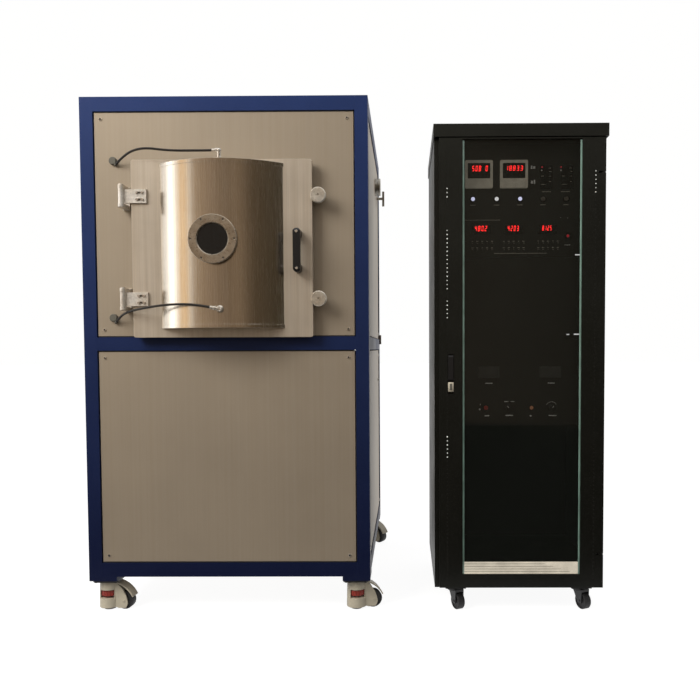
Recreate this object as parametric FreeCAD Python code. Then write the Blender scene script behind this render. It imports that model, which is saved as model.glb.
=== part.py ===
"""Hot filament chemical vapour deposition system: a deposition cabinet and its control rack.

Millimetres. X runs to the right along both fronts, Y runs from the fronts to the backs, Z is up.
Everything is laid out from the middle of the deposition cabinet's front, at floor level, and is
moved at the end so that the origin is under the middle of the whole system.
"""
import FreeCAD, Part
import math
import os

from FreeCAD import Vector

# Deposition cabinet
cabinet_width = 1000.0
cabinet_depth = 1000.0
cabinet_height = 1811.0
cabinet_underside = 113.0
tube_size = 50.0
tube_wall = 3.0
post_width = 46.0
middle_rail_height = 47.0
foot_plate_size = 98.0
foot_plate_thickness = 16.0
foot_plate_chamfer = 16.0
panel_gap = 4.0
panel_recess = 4.0
panel_thickness = 2.0
panel_return = 22.0
panel_ledge_width = 30.0
panel_ledge_thickness = 3.0
panel_screw_inset = 22.0
panel_screw_radius = 6.0
panel_screw_head = 3.0

# Deposition chamber behind the upper panel
chamber_inner_width = 440.0
chamber_inner_height = 560.0
chamber_wall = 6.0
chamber_depth = 460.0
chamber_corner = 30.0
chamber_bearer_places = (110.0, 380.0)
flange_margin = 79.0
flange_end_margin = 14.0
flange_gap = 0.4
panel_cutout_clearance = 8.0
seal_width = 8.6
seal_groove_width = 9.0
seal_groove_depth = 5.0
seal_stand_proud = 0.2
seal_inset = 26.0
seal_end_inset = 12.0

# Filaments between two copper electrodes, above the substrate stage
electrode_x = 150.0
electrode_y = 235.0
electrode_radius = 9.0
electrode_reach = 330.0
electrode_outside = 50.0
filament_count = 9
filament_pitch = 16.0
filament_radius = 0.8
filament_bar = (22.0, 150.0, 18.0)
stage_y = 235.0
stage_column_radius = 20.0
stage_column_below = 150.0
stage_disc_radius = 85.0
stage_disc_thickness = 18.0
stage_height = 285.0

# Chamber door, which laps the chamber's mouth on all four sides
door_head_room = 176.0
door_side_lap = 90.0
door_end_lap = 23.5
door_rail_gap = 2.0
door_back = 14.0
door_plate_thickness = 24.0
door_corner = 8.0
drum_side_room = 18.0
drum_rise = 75.0
drum_wall = 5.0
drum_low_margin = 31.0
drum_high_margin = 15.0
drum_end_plate = 12.0
drum_end_lip = 1.5

# Viewport
viewport_x = -7.0
viewport_rise = 19.5
viewport_radius = 81.0
viewport_bore_radius = 51.0
viewport_reach = 25.0
viewport_ring_thickness = 14.0
viewport_neck_radius = 62.0
glass_radius = 57.0
glass_thickness = 9.0
viewport_screw_circle = 146.0
viewport_screw_count = 6
viewport_screw_radius = 3.6

# Door hinges and lock knobs stand at two heights, measured in from the door's ends
fitting_low_inset = 131.0
fitting_high_inset = 125.0
hinge_axis_x = -340.0
hinge_axis_y = -50.0
hinge_lug_outer = 37.5
hinge_lug_thickness = 12.0
hinge_lug_radius = 10.0
hinge_pin_radius = 5.0
hinge_pin_clearance = 0.05
hinge_knuckle_radius = 9.0
hinge_axial_gap = 0.4
hinge_arm_reach = 85.0
hinge_arm_height = 47.0
hinge_arm_thickness = 8.0
hinge_slot_length = 30.0
hinge_slot_width = 7.0
knob_x = 332.0
knob_radius = 27.0
knob_thickness = 17.0
knob_bore_radius = 4.0
knob_stem_radius = 6.0
knob_stem_clearance = 0.05
knob_axial_gap = 0.4
knob_ear_radius = 17.0
knob_ear_thickness = 16.0
knob_tip_gap = 0.8

# Door handle
handle_x = 262.0
handle_drop = 10.5
handle_length = 148.0
handle_width = 25.0
handle_reach = 46.0
handle_bar = 13.0

# Hoses with their glands and fittings: the heights are measured from the drum's top and base
hose_radius = 4.0
gland_radius = 13.5
gland_thickness = 10.0
gland_nose_length = 5.6
gland_offsets = ((-14.0, 11.5), (-12.0, 13.0))
elbow_setback = 24.0
swivel_setback = 30.0
upper_hose_course = (
    (-371.5, -5, 9.5), (-360, -14, 16.5), (-339, -30, 26), (-311, -48, 37), (-283, -60, 43), (-254, -67, 45.5),
    (-226, -71, 43.5), (-194, -74, 38.5), (-150, -76, 34.8), (-96, -77, 33.8), (-20, -77, 34.4),
)
lower_hose_course = (
    (-381.5, -5, 26), (-366, -17, 39.5), (-341, -36, 52), (-314, -54, 59.5), (-285, -68, 64), (-252, -83, 68.5),
    (-217, -96, 73), (-168, -111, 77), (-116, -121.5, 78.5), (-66, -128, 75.5), (-19, -130.5, 67),
)

# A port, a pull, a latch and a stud on the cabinet's right side
side_port_y = 690.0
side_port_drop = 160.0
side_pull_y = 880.0
side_stud_y = 860.0
side_stud_drop = 190.0

# Levelling casters under the deposition cabinet
caster_inset = 52.0
caster_turns = (-4.0, 14.0, -20.0, -32.0)
caster_plate_size = 90.0
caster_plate_thickness = 8.0
caster_bearing_gap = 0.3
caster_housing_radius = 36.0
caster_housing_base = 9.0
caster_window_low = 42.0
caster_window_height = 31.0
caster_window_angle = 101.0
caster_wheel_radius = 31.5
caster_wheel_width = 28.0
caster_trail = 60.0
caster_axle_radius = 4.0
caster_axle_clearance = 0.06
caster_cheek_thickness = 5.0
caster_cheek_gap = 1.0
leveller_wheel_radius = 30.0
leveller_wheel_thickness = 19.0
leveller_rib_count = 18
leveller_stem_radius = 8.0
leveller_pad_radius = 21.0
leveller_pad_thickness = 7.0
leveller_drop = 8.0

# Control rack
rack_gap = 230.0
rack_width = 600.0
rack_depth = 600.0
rack_height = 1711.0
rack_underside = 82.0
rack_cap_height = 44.0
rack_cap_lip = 3.0
rack_post = 40.0
rack_sheet = 2.0
rack_plinth_height = 36.0
rack_door_side_margin = 16.0
rack_door_hinge_margin = 6.0
rack_door_low_margin = 6.0
rack_door_gap = 3.0
rack_door_thickness = 22.0
rack_stile = 81.5
rack_door_low_rail = 47.5
rack_door_high_rail = 5.0
rack_door_sheet = 2.0
rack_pane_front = 5.4
rack_pane_lap = 8.0
rack_pane_top_lap = 3.0
rack_glass_thickness = 5.0
rack_hinge_inset = 120.0
rack_hinge_plate = 5.0
panel_plane = 62.0
rail_spacing = 465.1
rail_flange = 22.0
rail_hole_radius = 3.5
rail_hole_units = 6
rack_unit = 44.45
instrument_width = 482.6
instrument_plate = 3.0
instrument_heights_in_half_units = (14, 13, 18)
instrument_base = 658.0
instrument_seam = 1.2
instrument_case_width = 430.0
instrument_case_wall = 4.0
instrument_case_margin = 12.0
power_case_depth = 300.0
flow_case_depth = 240.0
foot_strip_top = 163.0

# Controls on the rack
gauge_size = 98.0
gauge_centres = ((-140.0, 1552.0), (-16.0, 1552.0))
gauge_reach = 9.0
gauge_depth = 80.0
flow_meter_centres = ((98.0, 1542.0), (172.0, 1542.0))
flow_meter_size = (44.0, 82.0)
button_x = (-161.0, -77.0, 6.0, 88.0, 170.0)
button_height = 1465.0
button_radius = 8.0
button_reach = 6.0
button_travel = 3.0
button_clearance = 0.1
button_collar_radius = 12.0
display_centres = ((-130.0, 1357.0), (-18.0, 1357.0), (104.0, 1357.0))
display_size = (66.0, 30.0)
small_button = (177.0, 1335.0)
meter_centres = ((-104.0, 851.0), (117.0, 851.0))
meter_size = (76.0, 40.0)
red_button = (-114.0, 723.0)
selector_knob = (-33.0, 723.0)
lamp_centre = (49.0, 723.0)
power_knob = (122.0, 723.0)
knob_skirt_radius = 13.0
knob_cap_radius = 10.0
knob_height = 16.0

# Rack door lock
lock_x = -243.5
lock_height = 846.0
lock_dish_width = 28.0
lock_dish_length = 150.0
lock_dish_floor = 8.0
lock_plate_height = 801.5
lever_width = 18.0
lever_length = 84.0
lever_thickness = 8.0
lever_stand_proud = 1.5
lever_pivot_height = 828.0

# Rack casters
rack_caster_inset_x = 75.0
rack_caster_inset_y = 55.0
rack_caster_plate = (73.0, 60.0)
rack_caster_plate_thickness = 6.0
rack_caster_ring_radius = 30.0
rack_caster_wheel_radius = 30.0
rack_caster_wheel_width = 26.0
rack_caster_trail = 20.0
rack_caster_turn = -65.0

# Derived sizes of the chamber and its door
top_rail_underside = cabinet_height - tube_size
door_width = chamber_inner_width + 2 * door_side_lap
door_height = chamber_inner_height + 2 * door_end_lap
door_top = top_rail_underside - door_head_room
door_bottom = door_top - door_height
chamber_centre_height = (door_top + door_bottom) / 2
chamber_outer_width = chamber_inner_width + 2 * chamber_wall
chamber_outer_height = chamber_inner_height + 2 * chamber_wall
chamber_base = chamber_centre_height - chamber_outer_height / 2
chamber_rear = panel_recess + chamber_depth
door_rear = -door_back
door_face = door_rear - door_plate_thickness
flange_front = door_rear + flange_gap
flange_back = panel_recess
drum_chord = chamber_inner_width - drum_side_room
drum_base = door_bottom + drum_low_margin
drum_top = door_top - drum_high_margin
drum_height = drum_top - drum_base
drum_centre_height = (drum_top + drum_base) / 2
drum_radius = (drum_chord ** 2 / 4 + drum_rise ** 2) / (2 * drum_rise)
drum_axis_y = door_face - drum_rise + drum_radius
drum_front = door_face - drum_rise
viewport_height = chamber_centre_height + viewport_rise
viewport_face = drum_front - viewport_reach
fitting_heights = (door_bottom + fitting_low_inset, door_top - fitting_high_inset)
handle_height = chamber_centre_height - handle_drop
ear_face = door_face
ear_back = door_face + knob_ear_thickness
upper_hose_route = tuple((x, y, drum_top + rise) for x, y, rise in upper_hose_course)
lower_hose_route = tuple((x, y, drum_base + rise) for x, y, rise in lower_hose_course)

# Derived sizes of the cabinet
half_width = cabinet_width / 2
frame_base = cabinet_underside + foot_plate_thickness
bottom_rail_top = frame_base + tube_size
middle_rail_top = door_bottom + door_rail_gap
middle_rail_underside = middle_rail_top - middle_rail_height
panel_half_width = half_width - post_width - panel_gap
upper_panel_span = (middle_rail_top + panel_gap, top_rail_underside - panel_gap)
lower_panel_span = (bottom_rail_top + panel_gap, middle_rail_underside - panel_gap)
side_port_height = cabinet_height - side_port_drop
side_latch_height = middle_rail_top
housing_base = cabinet_underside - caster_plate_thickness
rack_centre = half_width + rack_gap + rack_width / 2


def box(x0, x1, y0, y1, z0, z1):
    """Return a block between two corners."""
    return Part.makeBox(x1 - x0, y1 - y0, z1 - z0, Vector(x0, y0, z0))


def disc(radius, x, y, z, axis, length):
    """Return a cylinder that starts at a point and runs along an axis."""
    return Part.makeCylinder(radius, length, Vector(x, y, z), Vector(*axis))


def fuse(shapes):
    """Join touching solids into one clean solid."""
    whole = shapes[0]
    for shape in shapes[1:]:
        whole = whole.fuse(shape)
    return whole.removeSplitter()


def turned(shape, centre, degrees):
    """Turn a shape about a vertical line."""
    copy = shape.copy()
    copy.rotate(Vector(*centre), Vector(0, 0, 1), degrees)
    return copy


def rounded_rectangle(width, height, radius, centre_x, centre_z, y):
    """Return a face in a front plane, with rounded corners."""
    half_w = width / 2
    half_h = height / 2
    r = min(radius, half_w * 0.999, half_h * 0.999)
    c = r * (1 - math.sqrt(0.5))
    left, right = centre_x - half_w, centre_x + half_w
    low, high = centre_z - half_h, centre_z + half_h

    def at(x, z):
        return Vector(x, y, z)

    edges = [
        Part.LineSegment(at(left + r, low), at(right - r, low)),
        Part.Arc(at(right - r, low), at(right - c, low + c), at(right, low + r)),
        Part.LineSegment(at(right, low + r), at(right, high - r)),
        Part.Arc(at(right, high - r), at(right - c, high - c), at(right - r, high)),
        Part.LineSegment(at(right - r, high), at(left + r, high)),
        Part.Arc(at(left + r, high), at(left + c, high - c), at(left, high - r)),
        Part.LineSegment(at(left, high - r), at(left, low + r)),
        Part.Arc(at(left, low + r), at(left + c, low + c), at(left + r, low)),
    ]
    return Part.Face(Part.Wire([edge.toShape() for edge in edges]))


def slab(width, height, radius, centre_x, centre_z, y0, y1):
    """Return a plate with rounded corners that runs from one depth to another."""
    face = rounded_rectangle(width, height, radius, centre_x, centre_z, y0)
    return face.extrude(Vector(0, y1 - y0, 0))


def plan_prism(points, z0, z1):
    """Return a prism over a closed plan outline."""
    loop = [Vector(x, y, z0) for x, y in points]
    wire = Part.makePolygon(loop + [loop[0]])
    return Part.Face(wire).extrude(Vector(0, 0, z1 - z0))


def side_prism(points, x0, x1):
    """Return a prism over a closed outline seen from the side, given as (y, z)."""
    loop = [Vector(x0, y, z) for y, z in points]
    wire = Part.makePolygon(loop + [loop[0]])
    return Part.Face(wire).extrude(Vector(x1 - x0, 0, 0))


def turned_profile(points, x, y, z, axis):
    """Spin a closed (radius, along) outline into a solid about an axis through a point."""
    loop = [Vector(r, 0, a) for r, a in points]
    wire = Part.makePolygon(loop + [loop[0]])
    solid = Part.Face(wire).revolve(Vector(0, 0, 0), Vector(0, 0, 1), 360)
    turn = FreeCAD.Rotation(Vector(0, 0, 1), Vector(*axis))
    solid.Placement = FreeCAD.Placement(Vector(x, y, z), turn)
    return solid


def square_tube(x0, x1, y0, y1, z0, z1, along):
    """Return a hollow box section that is open at both ends along one axis."""
    walls = {"x": (0, tube_wall, tube_wall), "y": (tube_wall, 0, tube_wall)}
    wx, wy, wz = walls.get(along, (tube_wall, tube_wall, 0))
    outer = box(x0, x1, y0, y1, z0, z1)
    return outer.cut(box(x0 + wx, x1 - wx, y0 + wy, y1 - wy, z0 + wz, z1 - wz))


def hose(route):
    """Sweep a hose along straight runs joined by tangent arcs, and report its bends."""
    points = [Vector(*p) for p in route]
    edges = []
    radii = []
    start = points[0]
    for before, corner, after in zip(points, points[1:], points[2:]):
        arriving = corner - before
        leaving = after - corner
        half_turn = arriving.getAngle(leaving) / 2
        setback = 0.45 * min(arriving.Length, leaving.Length)
        radius = setback / math.tan(half_turn)
        radii.append(radius)
        inward = Vector(arriving).normalize()
        outward = Vector(leaving).normalize()
        arc_start = corner - inward * setback
        arc_end = corner + outward * setback
        bisector = (outward - inward).normalize()
        middle = corner + bisector * (radius / math.cos(half_turn) - radius)
        edges.append(Part.LineSegment(start, arc_start).toShape())
        edges.append(Part.Arc(arc_start, middle, arc_end).toShape())
        start = arc_end
    edges.append(Part.LineSegment(start, points[-1]).toShape())
    path = Part.Wire(edges)
    end_face = Part.Circle(points[0], points[1] - points[0], hose_radius).toShape()
    tube = path.makePipeShell([Part.Wire([end_face])], True, False)
    expected = math.pi * hose_radius ** 2 * path.Length
    print("hose length %.1f, volume ratio %.5f" % (path.Length, tube.Volume / expected))
    print("bend radii", " ".join("%.0f" % r for r in radii))
    return tube


nodes = {}


def keep(name, shapes):
    """Store a node's solids."""
    nodes[name] = list(shapes) if isinstance(shapes, (list, tuple)) else [shapes]


# Cabinet frame: four posts, three front and rear rails, side rails and foot plates
def cabinet_frame():
    """Return the welded frame's tubes and its corner foot plates."""
    s = tube_size
    w = post_width
    rails = (
        (frame_base, bottom_rail_top), (middle_rail_underside, middle_rail_top),
        (top_rail_underside, cabinet_height),
    )
    pieces = []
    for x in (-half_width, half_width - w):
        for y in (0.0, cabinet_depth - s):
            pieces.append(square_tube(x, x + w, y, y + s, frame_base, cabinet_height - tube_wall, "z"))
            pieces.append(box(x, x + w, y, y + s, cabinet_height - tube_wall, cabinet_height))
        for z0, z1 in rails:
            pieces.append(square_tube(x, x + w, s, cabinet_depth - s, z0, z1, "y"))
    for y in (0.0, cabinet_depth - s):
        for z0, z1 in rails:
            pieces.append(square_tube(-half_width + w, half_width - w, y, y + s, z0, z1, "x"))
    for y in chamber_bearer_places:
        reach = half_width - panel_recess - panel_return - panel_gap
        bearer = box(-reach, reach, y - s / 2, y + s / 2, middle_rail_top, chamber_base)
        pieces.append(bearer)
    f = foot_plate_size
    c = foot_plate_chamfer
    outline = [(0, 0), (f, 0), (f, f - c), (f - c, f), (0, f)]
    for side in (-1, 1):
        for y, way in ((0.0, 1), (cabinet_depth, -1)):
            points = [(side * (half_width - px), y + way * py) for px, py in outline]
            pieces.append(plan_prism(points, cabinet_underside, frame_base))
    return pieces


def tray(x0, x1, z0, z1, y, inward, cutout=None):
    """Return a folded sheet panel whose edges turn inward."""
    t = panel_thickness
    depth = y + inward * panel_return
    low, high = sorted((y, depth))
    outer = box(x0, x1, low, high, z0, z1)
    if inward > 0:
        hollow = box(x0 + t, x1 - t, low + t, high, z0 + t, z1 - t)
    else:
        hollow = box(x0 + t, x1 - t, low, high - t, z0 + t, z1 - t)
    panel = outer.cut(hollow)
    return panel if cutout is None else panel.cut(cutout)


def side_tray(x, inward, y0, y1, z0, z1):
    """Return a folded sheet panel for a cabinet side."""
    t = panel_thickness
    low, high = sorted((x, x + inward * panel_return))
    outer = box(low, high, y0, y1, z0, z1)
    if inward > 0:
        return outer.cut(box(low + t, high, y0 + t, y1 - t, z0 + t, z1 - t))
    return outer.cut(box(low, high - t, y0 + t, y1 - t, z0 + t, z1 - t))


# Front panels: the upper one is cut out for the chamber
def front_panels():
    """Return the two folded front panels."""
    z0, z1 = upper_panel_span
    cutout = slab(
        chamber_outer_width + 2 * panel_cutout_clearance,
        chamber_outer_height + 2 * panel_cutout_clearance,
        chamber_corner, 0, chamber_centre_height, panel_recess - 1, panel_recess + 5,
    )
    upper = tray(-panel_half_width, panel_half_width, z0, z1, panel_recess, 1, cutout)
    z0, z1 = lower_panel_span
    lower = tray(-panel_half_width, panel_half_width, z0, z1, panel_recess, 1)
    return [upper, lower]


def panel_ledges(spans):
    """Return the angle strips behind each front panel's edges that its screws go into."""
    strips = []
    y0 = panel_recess + panel_return
    for z0, z1 in spans:
        for side in (-1, 1):
            edge = half_width - post_width
            x0, x1 = sorted((side * edge, side * (edge - panel_ledge_width)))
            strips.append(box(x0, x1, y0, y0 + panel_ledge_thickness, z0, z1))
    return strips


# Side, rear and top panels
def cabinet_skins():
    """Return the panels that close the cabinet's sides, back and top."""
    pieces = []
    wide = panel_ledge_width
    thick = panel_ledge_thickness
    y0 = tube_size + panel_gap
    y1 = cabinet_depth - tube_size - panel_gap
    for z0, z1 in (upper_panel_span, lower_panel_span):
        for side in (-1, 1):
            pieces.append(side_tray(side * (half_width - panel_recess), -side, y0, y1, z0, z1))
        pieces.append(tray(-panel_half_width, panel_half_width, z0, z1, cabinet_depth - panel_recess, -1))
        pieces.extend(panel_ledges([(z0, z1)]))
        back = cabinet_depth - panel_recess - panel_return
        for side in (-1, 1):
            x0, x1 = sorted((side * (half_width - post_width), side * (half_width - post_width - wide)))
            pieces.append(box(x0, x1, back - thick, back, z0, z1))
            inner = half_width - panel_recess - panel_return
            x0, x1 = sorted((side * inner, side * (inner - thick)))
            for y in (tube_size, cabinet_depth - tube_size - wide):
                pieces.append(box(x0, x1, y, y + wide, z0, z1))
    t = panel_thickness
    edge = half_width - post_width - panel_gap
    top = box(-edge, edge, y0, y1, cabinet_height - panel_recess - t, cabinet_height - panel_recess)
    ledge_low = cabinet_height - panel_recess - t - thick
    for side in (-1, 1):
        x0, x1 = sorted((side * (half_width - post_width), side * (half_width - post_width - wide)))
        pieces.append(box(x0, x1, y0, y1, ledge_low, ledge_low + thick))
    pieces.append(top)
    pieces.append(floor_plate())
    return pieces


def floor_plate():
    """Return the sheet that lies on the bottom rails, notched round the posts."""
    outer = half_width - post_width / 2
    inner = half_width - post_width
    front = tube_size / 2
    clear = tube_size
    back = cabinet_depth - front
    rear = cabinet_depth - clear
    outline = [
        (-outer, clear), (-inner, clear), (-inner, front), (inner, front), (inner, clear), (outer, clear),
        (outer, rear), (inner, rear), (inner, back), (-inner, back), (-inner, rear), (-outer, rear),
    ]
    return plan_prism(outline, bottom_rail_top, bottom_rail_top + panel_thickness)


def screw_head(x, y, z, axis, radius, height):
    """Return a domed screw head that stands on a face."""
    crown = radius * 0.8
    return turned_profile([(0, 0), (radius, 0), (crown, height), (0, height)], x, y, z, axis)


def panel_screws():
    """Return the screw heads at the corners of the front, side and rear panels."""
    pieces = []
    i = panel_screw_inset
    for z0, z1 in (upper_panel_span, lower_panel_span):
        for z in (z0 + i, z1 - i):
            for side in (-1, 1):
                x = side * (panel_half_width - i)
                r = panel_screw_radius
                h = panel_screw_head
                pieces.append(screw_head(x, panel_recess, z, (0, -1, 0), r, h))
                back = cabinet_depth - panel_recess
                pieces.append(screw_head(x, back, z, (0, 1, 0), r, h))
                x = side * (half_width - panel_recess)
                for y in (tube_size + panel_gap + i, cabinet_depth - tube_size - panel_gap - i):
                    pieces.append(screw_head(x, y, z, (side, 0, 0), r, h))
    return pieces


# Chamber body: a rounded box with a front flange, ports and bosses for the lock knobs
def chamber_body():
    """Return the welded chamber with its flange, seal groove, ports and lock bosses."""
    z = chamber_centre_height
    w = chamber_outer_width
    h = chamber_outer_height
    flange = slab(w + 2 * flange_margin, h + 2 * flange_end_margin, 12, 0, z, flange_front, flange_back)
    shell = slab(w, h, chamber_corner, 0, z, flange_front, chamber_rear)
    body = fuse([flange, shell])
    cavity = slab(
        chamber_inner_width, chamber_inner_height, chamber_corner - chamber_wall,
        0, z, flange_front - 1, chamber_rear - chamber_wall)
    pump_port = disc(50, 0, chamber_rear - 1, z, (0, 1, 0), 61)
    top_z = z + chamber_outer_height / 2
    base_z = chamber_base
    middle_y = stage_y
    gas_port = disc(16, 0, middle_y, top_z - 3, (0, 0, 1), 40)
    stage_port = disc(45, 0, middle_y, base_z - 40, (0, 0, 1), 43)
    body = fuse([body, pump_port, gas_port, stage_port])
    body = fuse([body, disc(65, 0, chamber_rear + 60, z, (0, 1, 0), 12)])
    body = fuse([body, disc(60, 0, middle_y, base_z - 52, (0, 0, 1), 12)])
    body = fuse([body, disc(24, 0, middle_y, top_z + 37, (0, 0, 1), 8)])
    for height in fitting_heights:
        body = fuse([body, disc(15, knob_x, flange_back, height, (0, -1, 0), flange_back - flange_front)])
    body = body.cut(cavity)
    body = body.cut(disc(44, 0, chamber_rear - 20, z, (0, 1, 0), 100))
    body = body.cut(disc(stage_column_radius + 0.3, 0, middle_y, base_z - 80, (0, 0, 1), 120))
    body = body.cut(disc(11, 0, middle_y, top_z - 20, (0, 0, 1), 80))
    for height in fitting_heights:
        body = body.cut(disc(knob_stem_radius + 0.5, knob_x, flange_front - 1, height, (0, 1, 0), 12))
    for side in (-1, 1):
        hole = disc(electrode_radius + 0.3, side * electrode_x, electrode_y, base_z - 10, (0, 0, 1), 40)
        body = body.cut(hole)
    return body.cut(seal_ring(seal_groove_width, flange_front - 1, flange_front + seal_groove_depth))


def seal_ring(width, y0, y1):
    """Return a ring of rectangular section that runs round the chamber's mouth."""
    z = chamber_centre_height
    w = chamber_inner_width + 2 * seal_inset
    h = chamber_inner_height + 2 * seal_end_inset
    r = chamber_corner + 6
    outer = slab(w + width, h + width, r + width / 2, 0, z, y0, y1)
    inner = slab(w - width, h - width, r - width / 2, 0, z, y0 - 1, y1 + 1)
    return outer.cut(inner)


# Filament assembly and substrate stage
def filament_assembly():
    """Return the electrodes, their clamp bars and the row of filaments."""
    base = chamber_base
    pieces = []
    top = base + electrode_reach
    bar_w, bar_d, bar_h = filament_bar
    for side in (-1, 1):
        x = side * electrode_x
        rod = disc(electrode_radius, x, electrode_y, base - electrode_outside, (0, 0, 1),
                   top - base + electrode_outside)
        bar = box(x - bar_w / 2, x + bar_w / 2, electrode_y - bar_d / 2, electrode_y + bar_d / 2,
                  top - bar_h, top)
        collar = disc(electrode_radius + 7, x, electrode_y, base - 12, (0, 0, 1), 12)
        pieces.append(fuse([rod, bar, collar]))
    inner = electrode_x - bar_w / 2
    first = electrode_y - filament_pitch * (filament_count - 1) / 2
    for i in range(filament_count):
        y = first + i * filament_pitch
        pieces.append(disc(filament_radius, -inner, y, top - bar_h / 2, (1, 0, 0), 2 * inner))
    return pieces


def substrate_stage():
    """Return the cooled stage on its column, with the coolant stubs below the chamber."""
    base = chamber_base
    top = base + stage_height
    r = stage_disc_radius
    t = stage_disc_thickness
    c = stage_column_radius
    low = base - stage_column_below
    table = [(0, low), (c, low), (c, top - t - 14), (c + 12, top - t), (r, top - t),
             (r, top - 3), (r - 3, top), (0, top)]
    stage = turned_profile(table, 0, stage_y, 0, (0, 0, 1))
    collar = turned_profile([(0, 0), (c + 20, 0), (c + 20, 14), (0, 14)], 0, stage_y, base - 66.5, (0, 0, 1))
    return fuse([stage, collar])


# Chamber door: a plate with two ears and a bulged drum welded over its opening
def door_plate():
    """Return the flat door plate with its opening and lock ears."""
    z = chamber_centre_height
    plate = slab(door_width, door_height, door_corner, 0, z, door_face, door_rear)
    for height in fitting_heights:
        ear = disc(knob_ear_radius, knob_x, ear_back, height, (0, -1, 0), ear_back - ear_face)
        tongue = box(door_width / 2 - 20, knob_x, ear_face, ear_back,
                     height - knob_ear_radius, height + knob_ear_radius)
        plate = fuse([plate, ear, tongue])
    for height in fitting_heights:
        bore = knob_stem_radius + knob_stem_clearance
        plate = plate.cut(disc(bore, knob_x, ear_back + 1, height, (0, -1, 0), 40))
    opening_w = drum_chord - 2 * drum_wall - 6
    opening_h = drum_height - 2 * drum_end_plate
    opening = slab(opening_w, opening_h, 4, 0, drum_centre_height, door_face - 1, door_rear + 1)
    return plate.cut(opening)


def drum_section(inset):
    """Return the drum's plan outline, set in by a wall thickness, as a face at the floor."""
    r = drum_radius - inset
    half = math.sqrt(r ** 2 - (drum_axis_y - door_face) ** 2)
    left = Vector(-half, door_face, 0)
    right = Vector(half, door_face, 0)
    crown = Vector(0, drum_axis_y - r, 0)
    arc = Part.Arc(left, crown, right).toShape()
    chord = Part.LineSegment(right, left).toShape()
    return Part.Face(Part.Wire([arc, chord]))


def drum_prism(inset, z0, z1):
    """Return the drum's section raised between two heights."""
    face = drum_section(inset)
    face.translate(Vector(0, 0, z0))
    return face.extrude(Vector(0, 0, z1 - z0))


def door_drum():
    """Return the bulged shell with its end plates and viewport neck."""
    skin = drum_prism(0, drum_base + drum_end_plate, drum_top - drum_end_plate)
    ends = [
        drum_prism(-drum_end_lip, drum_base, drum_base + drum_end_plate),
        drum_prism(-drum_end_lip, drum_top - drum_end_plate, drum_top),
    ]
    neck_front = viewport_face + viewport_ring_thickness
    x = viewport_x
    neck = disc(viewport_radius - 6, x, neck_front, viewport_height, (0, 1, 0), 7)
    tube = disc(viewport_neck_radius, x, neck_front, viewport_height, (0, 1, 0), -neck_front + drum_front + 30)
    drum = fuse([skin] + ends + [tube, neck])
    hollow = drum_prism(drum_wall, drum_base + drum_end_plate, drum_top - drum_end_plate)
    drum = drum.cut(hollow)
    bore = disc(viewport_bore_radius, x, neck_front - 1, viewport_height, (0, 1, 0), 90)
    return drum.cut(bore)


def viewport_ring():
    """Return the clamp ring with its glass recess, bore chamfer and screw holes."""
    r = viewport_radius
    b = viewport_bore_radius
    g = glass_radius + 0.3
    t = viewport_ring_thickness
    s = glass_thickness + 0.3
    profile = [(b + 3, 0), (r - 1.5, 0), (r, 1.5), (r, t), (g, t), (g, t - s), (b, t - s), (b, 3)]
    ring = turned_profile(profile, viewport_x, viewport_face, viewport_height, (0, 1, 0))
    for i in range(viewport_screw_count):
        x, z = on_circle(i)
        ring = ring.cut(disc(viewport_screw_radius + 0.4, x, viewport_face - 1, z, (0, 1, 0), 9))
    return ring


def on_circle(index):
    """Return a viewport screw's place."""
    angle = 2 * math.pi * index / viewport_screw_count
    r = viewport_screw_circle / 2
    return viewport_x + r * math.cos(angle), viewport_height + r * math.sin(angle)


def viewport_glass():
    """Return the round window."""
    front = viewport_face + viewport_ring_thickness - glass_thickness
    return disc(glass_radius, viewport_x, front, viewport_height, (0, 1, 0), glass_thickness)


def door_handle():
    """Return the bridge handle, whose ends are rounded and sit on the plate."""
    half = handle_length / 2
    z = handle_height
    y = door_face
    out = door_face - handle_reach
    b = handle_bar
    foot = handle_width
    side = side_prism(
        [(y, z - half), (y, z - half + foot), (out + b + 9, z - half + foot), (out + b, z - half + foot + 9),
         (out + b, z + half - foot - 9), (out + b + 9, z + half - foot), (y, z + half - foot), (y, z + half),
         (out + 7, z + half), (out, z + half - 9), (out, z - half + 9), (out + 7, z - half)],
        handle_x - handle_width / 2, handle_x + handle_width / 2)
    front = slab(handle_width, handle_length, handle_width / 2 - 1, handle_x, z, out - 1, y + 1)
    return side.common(front)


# Hinges: fixed brackets with pins, and arms that turn on them
def hinge_brackets():
    """Return each fixed bracket and its headed pin."""
    pieces = []
    x, y = hinge_axis_x, hinge_axis_y
    r = hinge_lug_radius
    for z in fitting_heights:
        base = box(x - r - 2, x + r + 2, -4, panel_recess, z - hinge_lug_outer - 2, z + hinge_lug_outer + 2)
        parts = [base]
        for z0 in (z - hinge_lug_outer, z + hinge_lug_outer - hinge_lug_thickness):
            lug = box(x - r, x + r, y, -3, z0, z0 + hinge_lug_thickness)
            end = disc(r, x, y, z0, (0, 0, 1), hinge_lug_thickness)
            parts.extend([lug, end])
        bracket = fuse(parts)
        bore = hinge_pin_radius + hinge_pin_clearance
        bracket = bracket.cut(disc(bore, x, y, z - hinge_lug_outer - 5, (0, 0, 1), 2 * hinge_lug_outer + 10))
        top = z + hinge_lug_outer
        pin = fuse([
            disc(hinge_pin_radius, x, y, z - hinge_lug_outer, (0, 0, 1), 2 * hinge_lug_outer + 1),
            disc(hinge_pin_radius + 3, x, y, top, (0, 0, 1), 3),
        ])
        pieces.extend([bracket, pin])
    return pieces


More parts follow.
